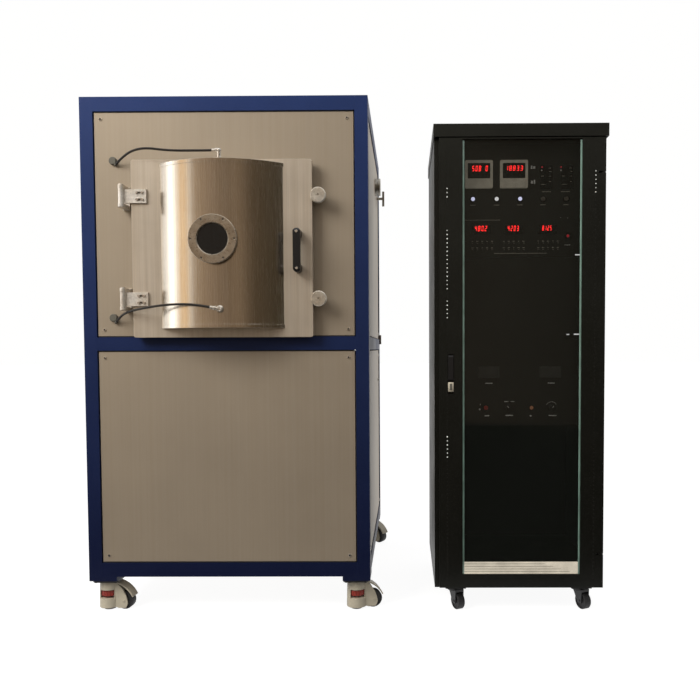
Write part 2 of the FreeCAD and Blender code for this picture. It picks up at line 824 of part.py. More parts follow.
def hinge_arms():
    """Return the two slotted arms with their knuckles."""
    pieces = []
    x, y = hinge_axis_x, hinge_axis_y
    reach = hinge_lug_outer - hinge_lug_thickness - hinge_axial_gap
    for z in fitting_heights:
        knuckle = disc(hinge_knuckle_radius, x, y, z - reach, (0, 0, 1), 2 * reach)
        half = hinge_arm_height / 2
        strap = box(x, x + hinge_arm_reach, door_face - hinge_arm_thickness, door_face, z - half, z + half)
        arm = fuse([knuckle, strap])
        bore = hinge_pin_radius + hinge_pin_clearance
        arm = arm.cut(disc(bore, x, y, z - 50, (0, 0, 1), 100))
        for dz in (-half / 2, half / 2):
            cx = x + hinge_arm_reach - 8 - hinge_slot_length / 2
            slot = slab(hinge_slot_length, hinge_slot_width, hinge_slot_width / 2, cx, z + dz,
                        door_face - hinge_arm_thickness - 1, door_face + 1)
            arm = arm.cut(slot)
        pieces.append(arm)
    return pieces


def door_screws():
    """Return the screws of the hinge arms, the handle and the viewport."""
    pieces = []
    y = door_face - hinge_arm_thickness
    for z in fitting_heights:
        for dz in (-hinge_arm_height / 4, hinge_arm_height / 4):
            for dx in (hinge_slot_length + 2, 14):
                x = hinge_axis_x + hinge_arm_reach - dx
                pieces.append(screw_head(x, y, z + dz, (0, -1, 0), 5.2, 4))
    for dz in (-1, 1):
        z = handle_height + dz * (handle_length / 2 - handle_width / 2)
        pieces.append(screw_head(handle_x, door_face - handle_reach, z, (0, -1, 0), 5, 1.6))
    for i in range(viewport_screw_count):
        x, z = on_circle(i)
        pieces.append(disc(viewport_screw_radius, x, viewport_face + 3, z, (0, 1, 0), 5))
    return pieces


def lock_knob(height):
    """Return one clamp knob on its captive stem."""
    r = knob_radius
    t = knob_thickness
    s = knob_stem_radius
    face = ear_face - knob_axial_gap
    tip = flange_front - knob_tip_gap
    stem_end = face - tip
    collar = face - (ear_back + knob_axial_gap)
    b = knob_bore_radius
    profile = [
        (0, t - 5), (b, t - 5), (b, t), (r - 3, t), (r, t - 3), (r, 4), (r - 4, 0), (s, 0), (s, collar),
        (s + 2.5, collar), (s + 2.5, collar - 3), (s, collar - 3), (s, stem_end), (0, stem_end),
    ]
    return turned_profile(profile, knob_x, face, height, (0, -1, 0))


# Hose glands on the panel, and elbow fittings on the drum
def hose_glands():
    """Return the two caps on the panel, each with a nose that its hose leaves by."""
    pieces = []
    for route, offset in zip((upper_hose_route, lower_hose_route), gland_offsets):
        x, y, z = route[0]
        r = gland_radius
        t = gland_thickness
        cap = turned_profile(
            [(0, 0), (r, 0), (r, t - 2), (r - 2, t), (0, t)],
            x + offset[0], panel_recess, z + offset[1], (0, -1, 0))
        direction = (Vector(*route[1]) - Vector(*route[0])).normalize()
        start = Vector(x, y, z) - direction * gland_nose_length
        nose = Part.makeCylinder(hose_radius + 1, gland_nose_length, start, direction)
        root = Part.makeSphere(hose_radius + 1.5, start)
        pieces.append(fuse([cap, nose, root]))
    return pieces


def hose_ferrule(route):
    """Return the crimped ferrule and nut in line with a hose's last run."""
    direction = [b - a for a, b in zip(route[-2], route[-1])]
    r = hose_radius
    profile = [(0, 0), (r + 1.6, 0), (r + 1.6, 13), (r + 3.5, 14), (r + 3.5, 19), (0, 19)]
    return turned_profile(profile, *route[-1], direction)


def hose_fittings():
    """Return the elbow on the drum's top and the swivel fitting on its front."""
    x, y, z = upper_hose_route[-1]
    r = hose_radius
    ferrule = hose_ferrule(upper_hose_route)
    corner = x + elbow_setback
    knee = Part.makeSphere(r + 4, Vector(corner, y, z))
    arm = disc(r + 2, x + 10, y, z, (1, 0, 0), elbow_setback - 10)
    leg = disc(r + 2.5, corner, y, drum_top, (0, 0, 1), z - drum_top)
    nut = Part.makeCylinder(r + 6, 9, Vector(corner, y, drum_top))
    upper = fuse([ferrule, arm, knee, leg, nut])
    before, end = [Vector(*place) for place in lower_hose_route[-2:]]
    direction = (end - before).normalize()
    centre = end + direction * swivel_setback
    ferrule = hose_ferrule(lower_hose_route)
    arm = Part.makeCylinder(r + 2, swivel_setback - 10, end + direction * 10, direction)
    body = turned_profile(
        [(0, 0), (r + 8, 0), (r + 8, 8), (r + 5, 10), (r + 5, 22), (r + 2, 26), (0, 26)],
        centre.x, drum_front + 2, centre.z, (0, -1, 0))
    lower = fuse([ferrule, arm, body])
    return [upper, lower.cut(drum_prism(0, drum_base, drum_top))]


# Fittings on the cabinet's right side
def side_fittings():
    """Return the blanked port, the pull and the latch on the right side."""
    x = half_width - panel_recess
    port = turned_profile(
        [(0, 0), (38, 0), (38, 9), (26, 9), (26, 13), (38, 13), (38, 21), (36, 23), (0, 23)],
        x, side_port_y, side_port_height, (1, 0, 0))
    post = disc(6, x, side_pull_y, side_port_height - 10, (1, 0, 0), 30)
    bar = box(x + 24, x + 34, side_pull_y - 9, side_pull_y + 9, side_port_height - 45, side_port_height + 22)
    pull = fuse([post, bar])
    post_z = side_latch_height
    edge = half_width
    latch = box(edge, edge + 9, cabinet_depth - 40, cabinet_depth - 12, post_z - 22, post_z + 22)
    stud = disc(7, x, side_stud_y, side_latch_height - side_stud_drop, (1, 0, 0), 6)
    return [port, pull, latch, stud]


# Levelling casters, each built about its swivel axis with the wheel trailing to +X
def caster_housing():
    """Return a housing with a window in each flank, wheel cheeks, a guard and the wheel's axle."""
    top = housing_base - caster_bearing_gap
    base = caster_housing_base
    r = caster_housing_radius
    half = caster_wheel_width / 2 + caster_cheek_gap
    t = caster_cheek_thickness
    drum = Part.makeCone(r, r - 2, top - base, Vector(0, 0, base), Vector(0, 0, 1))
    cheeks = [caster_cheek(half, top, base), caster_cheek(-half - t, top, base)]
    body = fuse([drum] + cheeks + [caster_guard(half + t, top)])
    axle_z = caster_wheel_radius
    body = body.cut(disc(caster_wheel_radius + 2.5, caster_trail, -half, axle_z, (0, 1, 0), 2 * half))
    window_top = caster_window_low + caster_window_height
    swing = math.radians(caster_window_angle / 2)
    far = 2 * r
    x, y = far * math.sin(swing), far * math.cos(swing)
    for side in (-1, 1):
        wedge = [(0, 0), (-x, side * y), (-x, side * far), (x, side * far), (x, side * y)]
        body = body.cut(plan_prism(wedge, caster_window_low, window_top))
    turning = disc(leveller_wheel_radius + 1.5, 0, 0, caster_window_low, (0, 0, 1), caster_window_height)
    stem_hole = disc(leveller_stem_radius + 0.08, 0, 0, base, (0, 0, 1), top - base - 6)
    body = body.cut(turning).cut(stem_hole)
    end = half + t + 2
    return fuse([body, disc(caster_axle_radius, caster_trail, -end, axle_z, (0, 1, 0), 2 * end)])


def caster_cheek(y, top, base):
    """Return one side cheek, whose edge curves down from the housing to below the axle."""
    z = caster_wheel_radius
    nose = caster_trail + 13
    start = Vector(caster_trail - 34, y, top - 4)
    end = Vector(nose, y, z - 4)
    low = Vector(nose - 8, y, base - 3)
    edges = [
        Part.LineSegment(Vector(0, y, base), Vector(0, y, top)),
        Part.LineSegment(Vector(0, y, top), start),
        Part.Arc(start, Vector(caster_trail, y, z + 34.5), end),
        Part.Arc(end, Vector(nose - 2, y, z - 17), low),
        Part.LineSegment(low, Vector(caster_trail - 20, y, base - 3)),
        Part.LineSegment(Vector(caster_trail - 20, y, base - 3), Vector(caster_trail - 28, y, base)),
        Part.LineSegment(Vector(caster_trail - 28, y, base), Vector(0, y, base)),
    ]
    face = Part.Face(Part.Wire([edge.toShape() for edge in edges]))
    return face.extrude(Vector(0, caster_cheek_thickness, 0))


def caster_guard(half, top):
    """Return the curved guard that reaches from the housing's top over the wheel."""
    x = caster_trail
    z = caster_wheel_radius

    def at(along, height):
        return Vector(along, -half, height)

    edges = [
        Part.LineSegment(at(x - 38, top - 9), at(x - 38, top - 4)),
        Part.LineSegment(at(x - 38, top - 4), at(x - 30, top - 4)),
        Part.Arc(at(x - 30, top - 4), at(x + 17, z + 42.5), at(x + 34.5, z + 16)),
        Part.LineSegment(at(x + 34.5, z + 16), at(x + 31, z + 14.5)),
        Part.Arc(at(x + 31, z + 14.5), at(x + 14, z + 38.5), at(x - 30, top - 9)),
        Part.LineSegment(at(x - 30, top - 9), at(x - 38, top - 9)),
    ]
    face = Part.Face(Part.Wire([edge.toShape() for edge in edges]))
    return face.extrude(Vector(0, 2 * half, 0))


def caster_wheel(radius, width, bore, x, z):
    """Return a wheel with a crowned tread and recessed sides, on a bore."""
    w = width / 2
    r = radius
    profile = [
        (bore, -w), (bore + 5, -w), (bore + 6, -w + 2.5), (r - 7, -w + 2.5), (r - 6, -w), (r - 2, -w),
        (r, -w + 2.5), (r, w - 2.5), (r - 2, w), (r - 6, w), (r - 7, w - 2.5), (bore + 6, w - 2.5),
        (bore + 5, w), (bore, w),
    ]
    return turned_profile(profile, x, 0, z, (0, 1, 0))


def leveller():
    """Return the ribbed thumbwheel, its stem and the pad, as one screwed foot."""
    wheel_z = caster_window_low + leveller_drop + 1
    t = leveller_wheel_thickness
    r = leveller_wheel_radius
    foot = leveller_pad_thickness - 1
    stem = disc(leveller_stem_radius, 0, 0, foot, (0, 0, 1), wheel_z + t + 10 - foot)
    thumb = disc(r, 0, 0, wheel_z, (0, 0, 1), t)
    for i in range(leveller_rib_count):
        angle = 2 * math.pi * i / leveller_rib_count
        reach = r + 1.2
        thumb = thumb.cut(disc(
            2.8, reach * math.cos(angle), reach * math.sin(angle), wheel_z - 1, (0, 0, 1), t + 2))
    p = leveller_pad_radius
    h = leveller_pad_thickness
    pad = turned_profile([(0, 0), (p - 1, 0), (p, 1), (p, h - 2), (p - 2, h), (0, h)], 0, 0, 0, (0, 0, 1))
    return fuse([pad, stem, thumb])


def caster_places():
    """Return each caster's name, place and turn, from front to rear."""
    x = half_width - caster_inset
    front = caster_inset
    rear = cabinet_depth - caster_inset
    corners = (
        ("front_left", -x, front), ("front_right", x, front),
        ("rear_left", -x, rear), ("rear_right", x, rear),
    )
    return [corner + (turn,) for corner, turn in zip(corners, caster_turns)]


def caster_plates():
    """Return the dark bearing plates bolted under the foot plates."""
    pieces = []
    half = caster_plate_size / 2
    for _, x, y, _ in caster_places():
        plate = box(x - half, x + half, y - half, y + half, housing_base, cabinet_underside)
        plate = plate.makeChamfer(8, [e for e in plate.Edges if abs(e.tangentAt(0).z) > 0.9])
        parts = [plate]
        for dx in (-1, 1):
            for dy in (-1, 1):
                bolt = disc(4.5, x + dx * (half - 10), y + dy * (half - 10), housing_base - 3, (0, 0, 1), 3)
                parts.append(bolt)
        pieces.append(fuse(parts))
    return pieces


# Control rack, built about its own centre line and then moved beside the cabinet
rack_half = rack_width / 2
rack_body_top = rack_height - rack_cap_height
rack_front = rack_door_thickness + rack_door_gap
opening_base = rack_underside + rack_plinth_height


def rack_frame():
    """Return the posts, plinth, cap, floor and the drilled instrument rails."""
    s = rack_sheet
    p = rack_post
    depth = rack_depth
    wide = rack_half + rack_cap_lip
    cap = box(-wide, wide, -rack_cap_lip, depth, rack_body_top, rack_height)
    cap = cap.cut(box(-rack_half, rack_half, s, depth - s, rack_body_top - 1, rack_height - 4))
    plinth = box(-rack_half, rack_half, rack_front, depth, rack_underside, opening_base)
    pocket = box(-rack_half + 60, rack_half - 60, rack_front + 40, depth - 40,
                 rack_underside - 1, opening_base - 4)
    plinth = plinth.cut(pocket)
    pieces = [cap, plinth]
    for side in (-1, 1):
        for y in (rack_front, depth - p):
            x0, x1 = sorted((side * rack_half, side * (rack_half - p)))
            inner0, inner1 = sorted((side * (rack_half - s), side * (rack_half - p)))
            post = box(x0, x1, y, y + p, opening_base, rack_body_top)
            y0, y1 = (y + s, y + p) if y < depth / 2 else (y, y + p - s)
            hollow = box(inner0, inner1, y0, y1, opening_base - 1, rack_body_top + 1)
            pieces.append(post.cut(hollow))
    pieces.extend(instrument_rails())
    return pieces


def instrument_rails():
    """Return the two angle rails with square-pitched holes in the free lower bay."""
    rails = []
    y = panel_plane + instrument_plate
    offsets = (6.35, 22.225, 38.1)
    for side in (-1, 1):
        centre = side * rail_spacing / 2
        x0 = centre - rail_flange / 2
        x1 = centre + rail_flange / 2
        flange = box(x0, x1, y, y + 2, opening_base, rack_body_top)
        outer = x1 - 2 if side > 0 else x0
        web = box(outer, outer + 2, y, y + 30, opening_base, rack_body_top)
        foot_a = sorted((side * (rack_half - rack_post), side * (rail_spacing / 2 + rail_flange / 2)))
        rail = fuse([flange, web])
        brackets = []
        for z in (opening_base, rack_body_top - 40):
            brackets.append(box(foot_a[0], foot_a[1], y, y + 3, z, z + 40))
        rail = fuse([rail] + brackets)
        for unit in range(1, rail_hole_units + 1):
            for offset in offsets:
                z = instrument_base - unit * rack_unit + offset
                rail = rail.cut(disc(rail_hole_radius, centre, y - 1, z, (0, 1, 0), 4))
        rails.append(rail)
    return rails


def rack_panels():
    """Return the side panels, the rear door and the bright strip at the foot."""
    s = rack_sheet
    pieces = []
    p = rack_post
    for side in (-1, 1):
        x0, x1 = sorted((side * (rack_half - s), side * rack_half))
        pieces.append(box(x0, x1, rack_front + p, rack_depth - p, opening_base, rack_body_top))
    pieces.append(box(-rack_half + p, rack_half - p, rack_depth - s, rack_depth, opening_base, rack_body_top))
    strip = instrument_width / 2
    pieces.append(box(-strip, strip, panel_plane, panel_plane + instrument_plate, opening_base, foot_strip_top))
    return pieces


def instrument_edges():
    """Return each instrument plate's lower and upper height."""
    edges = []
    z = instrument_base
    for half_units in instrument_heights_in_half_units:
        top = z + half_units * rack_unit / 2
        edges.append((z, top))
        z = top
    return edges


def instrument_panels():
    """Return the three instrument plates with the cut-outs their controls need."""
    plates = []
    y0 = panel_plane
    y1 = panel_plane + instrument_plate
    for z0, z1 in instrument_edges():
        seam = instrument_seam
        plates.append(box(-instrument_width / 2, instrument_width / 2, y0, y1, z0 + seam / 2, z1 - seam / 2))
    power, blank, flow = plates
    for x in button_x:
        flow = flow.cut(disc(button_radius - 1.9, x, y0 - 1, button_height, (0, 1, 0), 10))
    x, z = small_button
    flow = flow.cut(disc(button_radius - 1.9, x, y0 - 1, z, (0, 1, 0), 10))
    for x, z in gauge_centres:
        flow = flow.cut(slab(gauge_size - 8, gauge_size - 8, 3, x, z, y0 - 1, y1 + 1))
    for x, z in flow_meter_centres:
        w, h = flow_meter_size
        flow = flow.cut(slab(w - 4, h - 4, 3, x, z, y0 - 1, y1 + 1))
    for x, z in display_centres:
        w, h = display_size
        flow = flow.cut(slab(w - 4, h - 4, 2, x, z, y0 - 1, y1 + 1))
    for x, z in meter_centres:
        w, h = meter_size
        power = power.cut(slab(w - 4, h - 4, 2, x, z, y0 - 1, y1 + 1))
    for x, z in (selector_knob, power_knob, lamp_centre):
        power = power.cut(disc(4.1, x, y0 - 1, z, (0, 1, 0), 10))
    x, z = red_button
    power = power.cut(disc(button_radius - 1.9, x, y0 - 1, z, (0, 1, 0), 10))
    z0, z1 = instrument_edges()[0]
    case = instrument_case(y1, power_case_depth, z0, z1)
    z0, z1 = instrument_edges()[2]
    upper = instrument_case(y1, flow_case_depth, z0, z1)
    return [fuse([power, case]), blank, fuse([flow, upper])]


def instrument_case(y, depth, z0, z1):
    """Return the empty chassis behind a front plate."""
    half = instrument_case_width / 2
    m = instrument_case_margin
    t = instrument_case_wall
    case = box(-half, half, y, y + depth, z0 + m, z1 - m)
    return case.cut(box(-half + t, half - t, y - 1, y + depth - t, z0 + m + t, z1 - m - t))


def gauge_units():
    """Return the two square gauges with their bezels and bodies."""
    pieces = []
    for x, z in gauge_centres:
        body = slab(gauge_size - 8.6, gauge_size - 8.6, 3, x, z, panel_plane, panel_plane + gauge_depth)
        bezel = slab(gauge_size, gauge_size, 5, x, z, panel_plane - gauge_reach, panel_plane)
        unit = fuse([bezel, body])
        window = slab(gauge_size - 18, gauge_size * 0.55, 3, x, z + 12,
                      panel_plane - gauge_reach - 1, panel_plane - gauge_reach + 3)
        pieces.append(unit.cut(window))
    return pieces


def panel_displays():
    """Return the gauge windows, flow meters, displays, meters, lamp and button collars."""
    pieces = []
    y0 = panel_plane
    for x, z in gauge_centres:
        front = panel_plane - gauge_reach + 1
        pieces.append(slab(gauge_size - 18.6, gauge_size * 0.55 - 0.6, 3, x, z + 12, front, front + 2))
    for centres, size, reach in (
            (flow_meter_centres, flow_meter_size, 3.0),
            (display_centres, display_size, 2.5),
            (meter_centres, meter_size, 3.0)):
        w, h = size
        for x, z in centres:
            front = slab(w, h, 3, x, z, y0 - reach, y0)
            body = slab(w - 4.6, h - 4.6, 2, x, z, y0, y0 + 40)
            pieces.append(fuse([front, body]))
    x, z = lamp_centre
    pieces.append(turned_profile(
        [(0, -12), (4, -12), (4, 0), (9, 0), (9, 3), (7, 7), (3, 9), (0, 9)], x, y0, z, (0, -1, 0)))
    for x, z in [(bx, button_height) for bx in button_x] + [small_button, red_button]:
        r = button_collar_radius
        b = button_radius + button_clearance
        pieces.append(turned_profile([(b, 0), (r, 0), (r, 2), (r - 1.5, 4), (b, 4)], x, y0, z, (0, -1, 0)))
    return pieces


def push_button(x, z):
    """Return one push button: its cap in the collar and its plunger through the plate."""
    r = button_radius
    reach = button_reach + 1.0
    low = button_travel + 0.3
    profile = [
        (0, -14), (r - 2, -14), (r - 2, low), (r, low), (r, reach - 1.2), (r - 1.2, reach), (0, reach),
    ]
    return turned_profile(profile, x, panel_plane, z, (0, -1, 0))


def rotary_knob(x, z):
    """Return one rotary knob with a skirt, a fluted grip and a shaft."""
    k = knob_cap_radius
    s = knob_skirt_radius
    h = knob_height
    profile = [(0, -10), (4, -10), (4, 0.3), (s, 0.3), (s, 2.5), (k + 0.5, 4), (k, h - 1.5), (k - 1.5, h), (0, h)]
    knob = turned_profile(profile, x, panel_plane, z, (0, -1, 0))
    for i in range(8):
        angle = 2 * math.pi * (i + 0.5) / 8
        cx = x + (k + 1.4) * math.cos(angle)
        cz = z + (k + 1.4) * math.sin(angle)
        knob = knob.cut(disc(2.4, cx, panel_plane - 4.2, cz, (0, -1, 0), h))
    return knob


# Rack door: a pressed frame, a glass pane and a lift-lever lock
door_left = -rack_half + rack_door_side_margin
door_right = rack_half - rack_door_hinge_margin
door_low = rack_underside + rack_door_low_margin
door_high = rack_body_top - rack_door_gap
rack_hinge_x = door_right - 8.0
rack_hinge_y = 8.0
glass_left = door_left + rack_stile
glass_right = door_right - rack_stile
glass_low = door_low + rack_door_low_rail
glass_high = door_high - rack_door_high_rail
rack_hinge_heights = (door_low + rack_hinge_inset, door_high - rack_hinge_inset)
lever_pivot_y = lever_thickness / 2 - lever_stand_proud


def rack_door_frame():
    """Return the door's stiles and rails with the glass rebate and the lock dish."""
    t = rack_door_thickness
    outer = box(door_left, door_right, 0, t, door_low, door_high)
    edge = rack_door_sheet
    lap = rack_pane_lap
    opening = box(glass_left, glass_right, -1, t + 1, glass_low, glass_high)
    hollows = []
    for x0, x1 in ((door_left + edge, glass_left - lap - 6), (glass_right + lap + 6, door_right - 20)):
        hollows.append(box(x0, x1, edge, t + 1, door_low + edge, door_high - edge))
    back = box(glass_left - lap, glass_right + lap, rack_pane_front, t + 1,
               glass_low - lap, glass_high + rack_pane_top_lap)
    frame = outer.cut(opening).cut(back)
    for hollow in hollows:
        frame = frame.cut(hollow)
    dish = slab(lock_dish_width, lock_dish_length, 6, lock_x, lock_height, edge, 12)
    frame = fuse([frame, dish])
    recess = slab(lock_dish_width - 6, lock_dish_length - 8, 5, lock_x, lock_height, -1, lock_dish_floor)
    frame = frame.cut(recess)
    for z in rack_hinge_heights:
        frame = frame.cut(disc(4.06, rack_hinge_x, rack_hinge_y, z - 26, (0, 0, 1), 52))
        half = rack_hinge_plate / 2 + 0.5
        notch = box(rack_hinge_x - 17, door_right + 1, -1, t + 1, z - half, z + half)
        frame = frame.cut(notch)
    for side in (-1, 1):
        frame = frame.cut(disc(2.56, lock_x + side * 10, lever_pivot_y, lever_pivot_height, (side, 0, 0), 3))
    return frame


def rack_door_retainers():
    """Return the strips that hold the pane from behind, and the lock's plate."""
    y0 = rack_pane_front + rack_glass_thickness + 0.2
    lap = rack_pane_lap
    strips = []
    for x0, x1 in ((glass_left - lap, glass_left - 1), (glass_right + 1, glass_right + lap)):
        strips.append(box(x0, x1, y0, y0 + 3, glass_low - lap, glass_high + rack_pane_top_lap))
    strips.append(slab(20, 34, 9, lock_x, lock_plate_height, -1.5, lock_dish_floor))
    return strips


def rack_door_glass():
    """Return the clear pane in its rebate."""
    y = rack_pane_front + 0.1
    lap = rack_pane_lap - 0.4
    return box(glass_left - lap, glass_right + lap, y, y + rack_glass_thickness,
               glass_low - lap, glass_high + rack_pane_top_lap - 0.4)


def lock_lever():
    """Return the lift lever with its rounded root and the two trunnions it turns on."""
    half = lever_thickness / 2
    y = lever_pivot_y
    z = lever_pivot_height
    x0 = lock_x - lever_width / 2
    root = disc(half, x0, y, z, (1, 0, 0), lever_width)
    top = z + lever_length
    grip = side_prism(
        [(y - half, z), (y + half, z), (y + half, top - 5), (y + half - 2, top), (y - half + 2, top),
         (y - half, top - 5)], x0, x0 + lever_width)
    reach = lever_width / 2 + 3.5
    trunnions = disc(2.5, lock_x - reach, y, z, (1, 0, 0), 2 * reach)
    return fuse([root, grip, trunnions])


# Rack casters, each built about its swivel axis with the wheel trailing to +X
def rack_caster_fork():
    """Return a pressed fork with its top ring and axle."""
    top = rack_underside - rack_caster_plate_thickness - 0.3
    r = rack_caster_wheel_radius
    half = rack_caster_wheel_width / 2 + 1.2
    plate = Part.makeCylinder(rack_caster_ring_radius, 8, Vector(0, 0, top - 8))
    crown = box(-16, rack_caster_trail + 12, -half - 3, half + 3, 2 * r + 3, top - 4)
    legs = []
    x = rack_caster_trail
    for side in (-1, 1):
        y0, y1 = sorted((side * half, side * (half + 3)))
        leg = Part.Face(Part.makePolygon([
            Vector(-16, y0, 2 * r + 5), Vector(x + 12, y0, 2 * r + 5), Vector(x + 10, y0, r - 6),
            Vector(x - 8, y0, r - 9), Vector(-16, y0, 2 * r + 5)])).extrude(Vector(0, y1 - y0, 0))
        legs.append(leg)
    axle = disc(4, x, -half - 5, r, (0, 1, 0), 2 * half + 10)
    return fuse([plate, crown] + legs + [axle])


def rack_caster_places():
    """Return each rack caster's name and place about the rack's centre line."""
    x = rack_half - rack_caster_inset_x
    front = rack_caster_inset_y
    rear = rack_depth - rack_caster_inset_y
    return (
        ("rack_front_left", -x, front), ("rack_front_right", x, front),
        ("rack_rear_left", -x, rear), ("rack_rear_right", x, rear),
    )


def rack_caster_plates():
    """Return the mounting plates under the plinth."""
    w, d = rack_caster_plate
    low = rack_underside - rack_caster_plate_thickness
    return [
        box(x - w / 2, x + w / 2, y - d / 2, y + d / 2, low, rack_underside)
        for _, x, y in rack_caster_places()
    ]


def rack_hinge_pins():
    """Return the welded brackets and pins that carry the rack door on the right post."""
    pieces = []
    half = rack_hinge_plate / 2
    x, y = rack_hinge_x, rack_hinge_y
    for z in rack_hinge_heights:
        pin = disc(4.0, x, y, z - 25, (0, 0, 1), 50)
        eye = disc(7.0, x, y, z - half, (0, 0, 1), 2 * half)
        plate = box(x - 7, x + 7, y, rack_front, z - half, z + half)
        pieces.append(fuse([eye, plate, pin]))
    return pieces


def at_rack(shape):
    """Move a shape from the rack's own centre line to its place."""
    copy = shape.copy()
    copy.translate(Vector(rack_centre, 0, 0))
    return copy


def at_place(shape, x, y, degrees):
    """Turn a caster part about its swivel axis and move it to its place."""
    copy = turned(shape, (0, 0, 0), degrees)
    copy.translate(Vector(x, y, 0))
    return copy


# Assembly
keep("cabinet_frame", cabinet_frame())
keep("front_panels", front_panels())
keep("cabinet_skins", cabinet_skins())
keep("panel_screws", panel_screws())
keep("chamber_body", chamber_body())
keep("door_seal", seal_ring(seal_width, flange_front - seal_stand_proud, flange_front + seal_groove_depth))
keep("hinge_brackets", hinge_brackets())
keep("hose_glands", hose_glands())
keep("filament_assembly", filament_assembly())
keep("substrate_stage", substrate_stage())
keep("side_fittings", side_fittings())
keep("upper_hose", hose(upper_hose_route))
keep("lower_hose", hose(lower_hose_route))
keep("caster_plates", caster_plates())
keep("door_plate", door_plate())
keep("door_drum", door_drum())
keep("viewport_ring", viewport_ring())
keep("viewport_glass", viewport_glass())
keep("door_handle", door_handle())
keep("hinge_arms", hinge_arms())
keep("door_screws", door_screws())
keep("hose_fittings", hose_fittings())
keep("lock_knob_lower", lock_knob(fitting_heights[0]))
keep("lock_knob_upper", lock_knob(fitting_heights[1]))
for name, px, py, turn in caster_places():
    keep(name + "_housing", at_place(caster_housing(), px, py, turn))
    wheel = caster_wheel(caster_wheel_radius, caster_wheel_width, caster_axle_radius + caster_axle_clearance,
                         caster_trail, caster_wheel_radius)
    keep(name + "_wheel", at_place(wheel, px, py, turn))
    keep(name + "_leveller", at_place(leveller(), px, py, turn))
rack_static = {
    "rack_frame": rack_frame() + rack_caster_plates() + rack_hinge_pins(),
    "rack_panels": rack_panels(),
    "instrument_panels": instrument_panels(),
    "gauge_units": gauge_units(),
    "panel_displays": panel_displays(),
    "rack_door_frame": [rack_door_frame()] + rack_door_retainers(),
    "rack_door_glass": [rack_door_glass()],
    "rack_lock_lever": [lock_lever()],
    "red_button": [push_button(*red_button)],
    "selector_knob": [rotary_knob(*selector_knob)],
    "power_knob": [rotary_knob(*power_knob)],
}
for index, bx in enumerate(button_x):
    rack_static["push_button_%d" % (index + 1)] = [push_button(bx, button_height)]
for name, shapes in rack_static.items():
    keep(name, [at_rack(shape) for shape in shapes])
for name, px, py in rack_caster_places():
    keep(name + "_fork", at_rack(at_place(rack_caster_fork(), px, py, rack_caster_turn)))
    wheel = caster_wheel(rack_caster_wheel_radius, rack_caster_wheel_width, 4.06,
                         rack_caster_trail, rack_caster_wheel_radius)
    keep(name + "_wheel", at_rack(at_place(wheel, px, py, rack_caster_turn)))

# Move the origin under the middle of the whole system and write each node
left_edge = -half_width
right_edge = rack_centre + rack_half + rack_cap_lip
front_edge = viewport_face
rear_edge = cabinet_depth + panel_screw_head - panel_recess
shift = Vector(-(left_edge + right_edge) / 2, -(front_edge + max(rear_edge, cabinet_depth)) / 2, 0)
os.makedirs("parts", exist_ok=True)
for name, shapes in nodes.items():
    moved = []
    for shape in shapes:
        copy = shape.copy()
        copy.translate(shift)
        moved.extend(copy.Solids)
    whole = moved[0] if len(moved) == 1 else Part.makeCompound(moved)
    whole.exportStep("parts/%s.step" % name)
print(len(nodes), "nodes, shift", shift)
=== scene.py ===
"""Dresses a hot filament deposition system: a blue framed cabinet with its chamber and a black control rack."""
import logging
import math
from dataclasses import dataclass
from enum import Enum
from typing import Callable, ClassVar, Optional, Sequence

import bmesh
import bpy
from mathutils import Matrix, Vector


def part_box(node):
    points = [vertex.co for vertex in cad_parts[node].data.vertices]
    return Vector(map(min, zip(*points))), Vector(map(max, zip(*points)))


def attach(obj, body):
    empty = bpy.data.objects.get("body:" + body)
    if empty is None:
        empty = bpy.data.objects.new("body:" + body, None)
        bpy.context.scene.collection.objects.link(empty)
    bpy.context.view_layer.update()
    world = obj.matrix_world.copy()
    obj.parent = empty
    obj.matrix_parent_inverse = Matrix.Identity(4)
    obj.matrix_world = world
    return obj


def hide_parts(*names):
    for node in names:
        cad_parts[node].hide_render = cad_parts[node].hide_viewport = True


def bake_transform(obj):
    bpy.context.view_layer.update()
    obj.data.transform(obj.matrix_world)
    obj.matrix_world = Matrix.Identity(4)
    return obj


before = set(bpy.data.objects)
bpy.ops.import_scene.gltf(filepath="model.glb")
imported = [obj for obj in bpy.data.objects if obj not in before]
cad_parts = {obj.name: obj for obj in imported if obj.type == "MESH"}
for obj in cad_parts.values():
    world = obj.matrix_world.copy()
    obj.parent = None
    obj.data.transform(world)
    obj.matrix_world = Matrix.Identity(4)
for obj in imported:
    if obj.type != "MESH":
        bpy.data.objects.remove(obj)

logging.basicConfig(level=logging.INFO, format="%(message)s")
log = logging.getLogger("deposition_system")

MM = 0.001
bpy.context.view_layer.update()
CABINET_LOW, CABINET_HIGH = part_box("cabinet_frame")
RACK_LOW, RACK_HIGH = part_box("rack_frame")
CABINET_X = (CABINET_LOW.x + CABINET_HIGH.x) / 2
FRONT_Y = CABINET_LOW.y
RACK_X = (RACK_LOW.x + RACK_HIGH.x) / 2
INSTRUMENT_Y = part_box("instrument_panels")[0].y

Colour = tuple[float, float, float]
Point = tuple[float, float, float]
Place = tuple[float, float]
Test = Callable[[Vector, Vector], bool]
Piece = bpy.types.Object
Material = bpy.types.Material
Socket = bpy.types.NodeSocket
Sockets = dict[str, bpy.types.NodeSocket]

PEEL_DEPTH = 0.0004
TEXTURE_DEPTH = 0.0002
DUST_COLOUR = (0.45, 0.43, 0.4)
SMOOTH_DEGREES = 40.0
CORNERS = ("front_left", "front_right", "rear_left", "rear_right")


class Direction(Enum):
    """The way that brush marks run on a surface."""

    UPRIGHT = (260.0, 60.0, 1.2)
    ROUND = (900.0, 30.0, 2.0)
    NONE = (40.0, 40.0, 40.0)


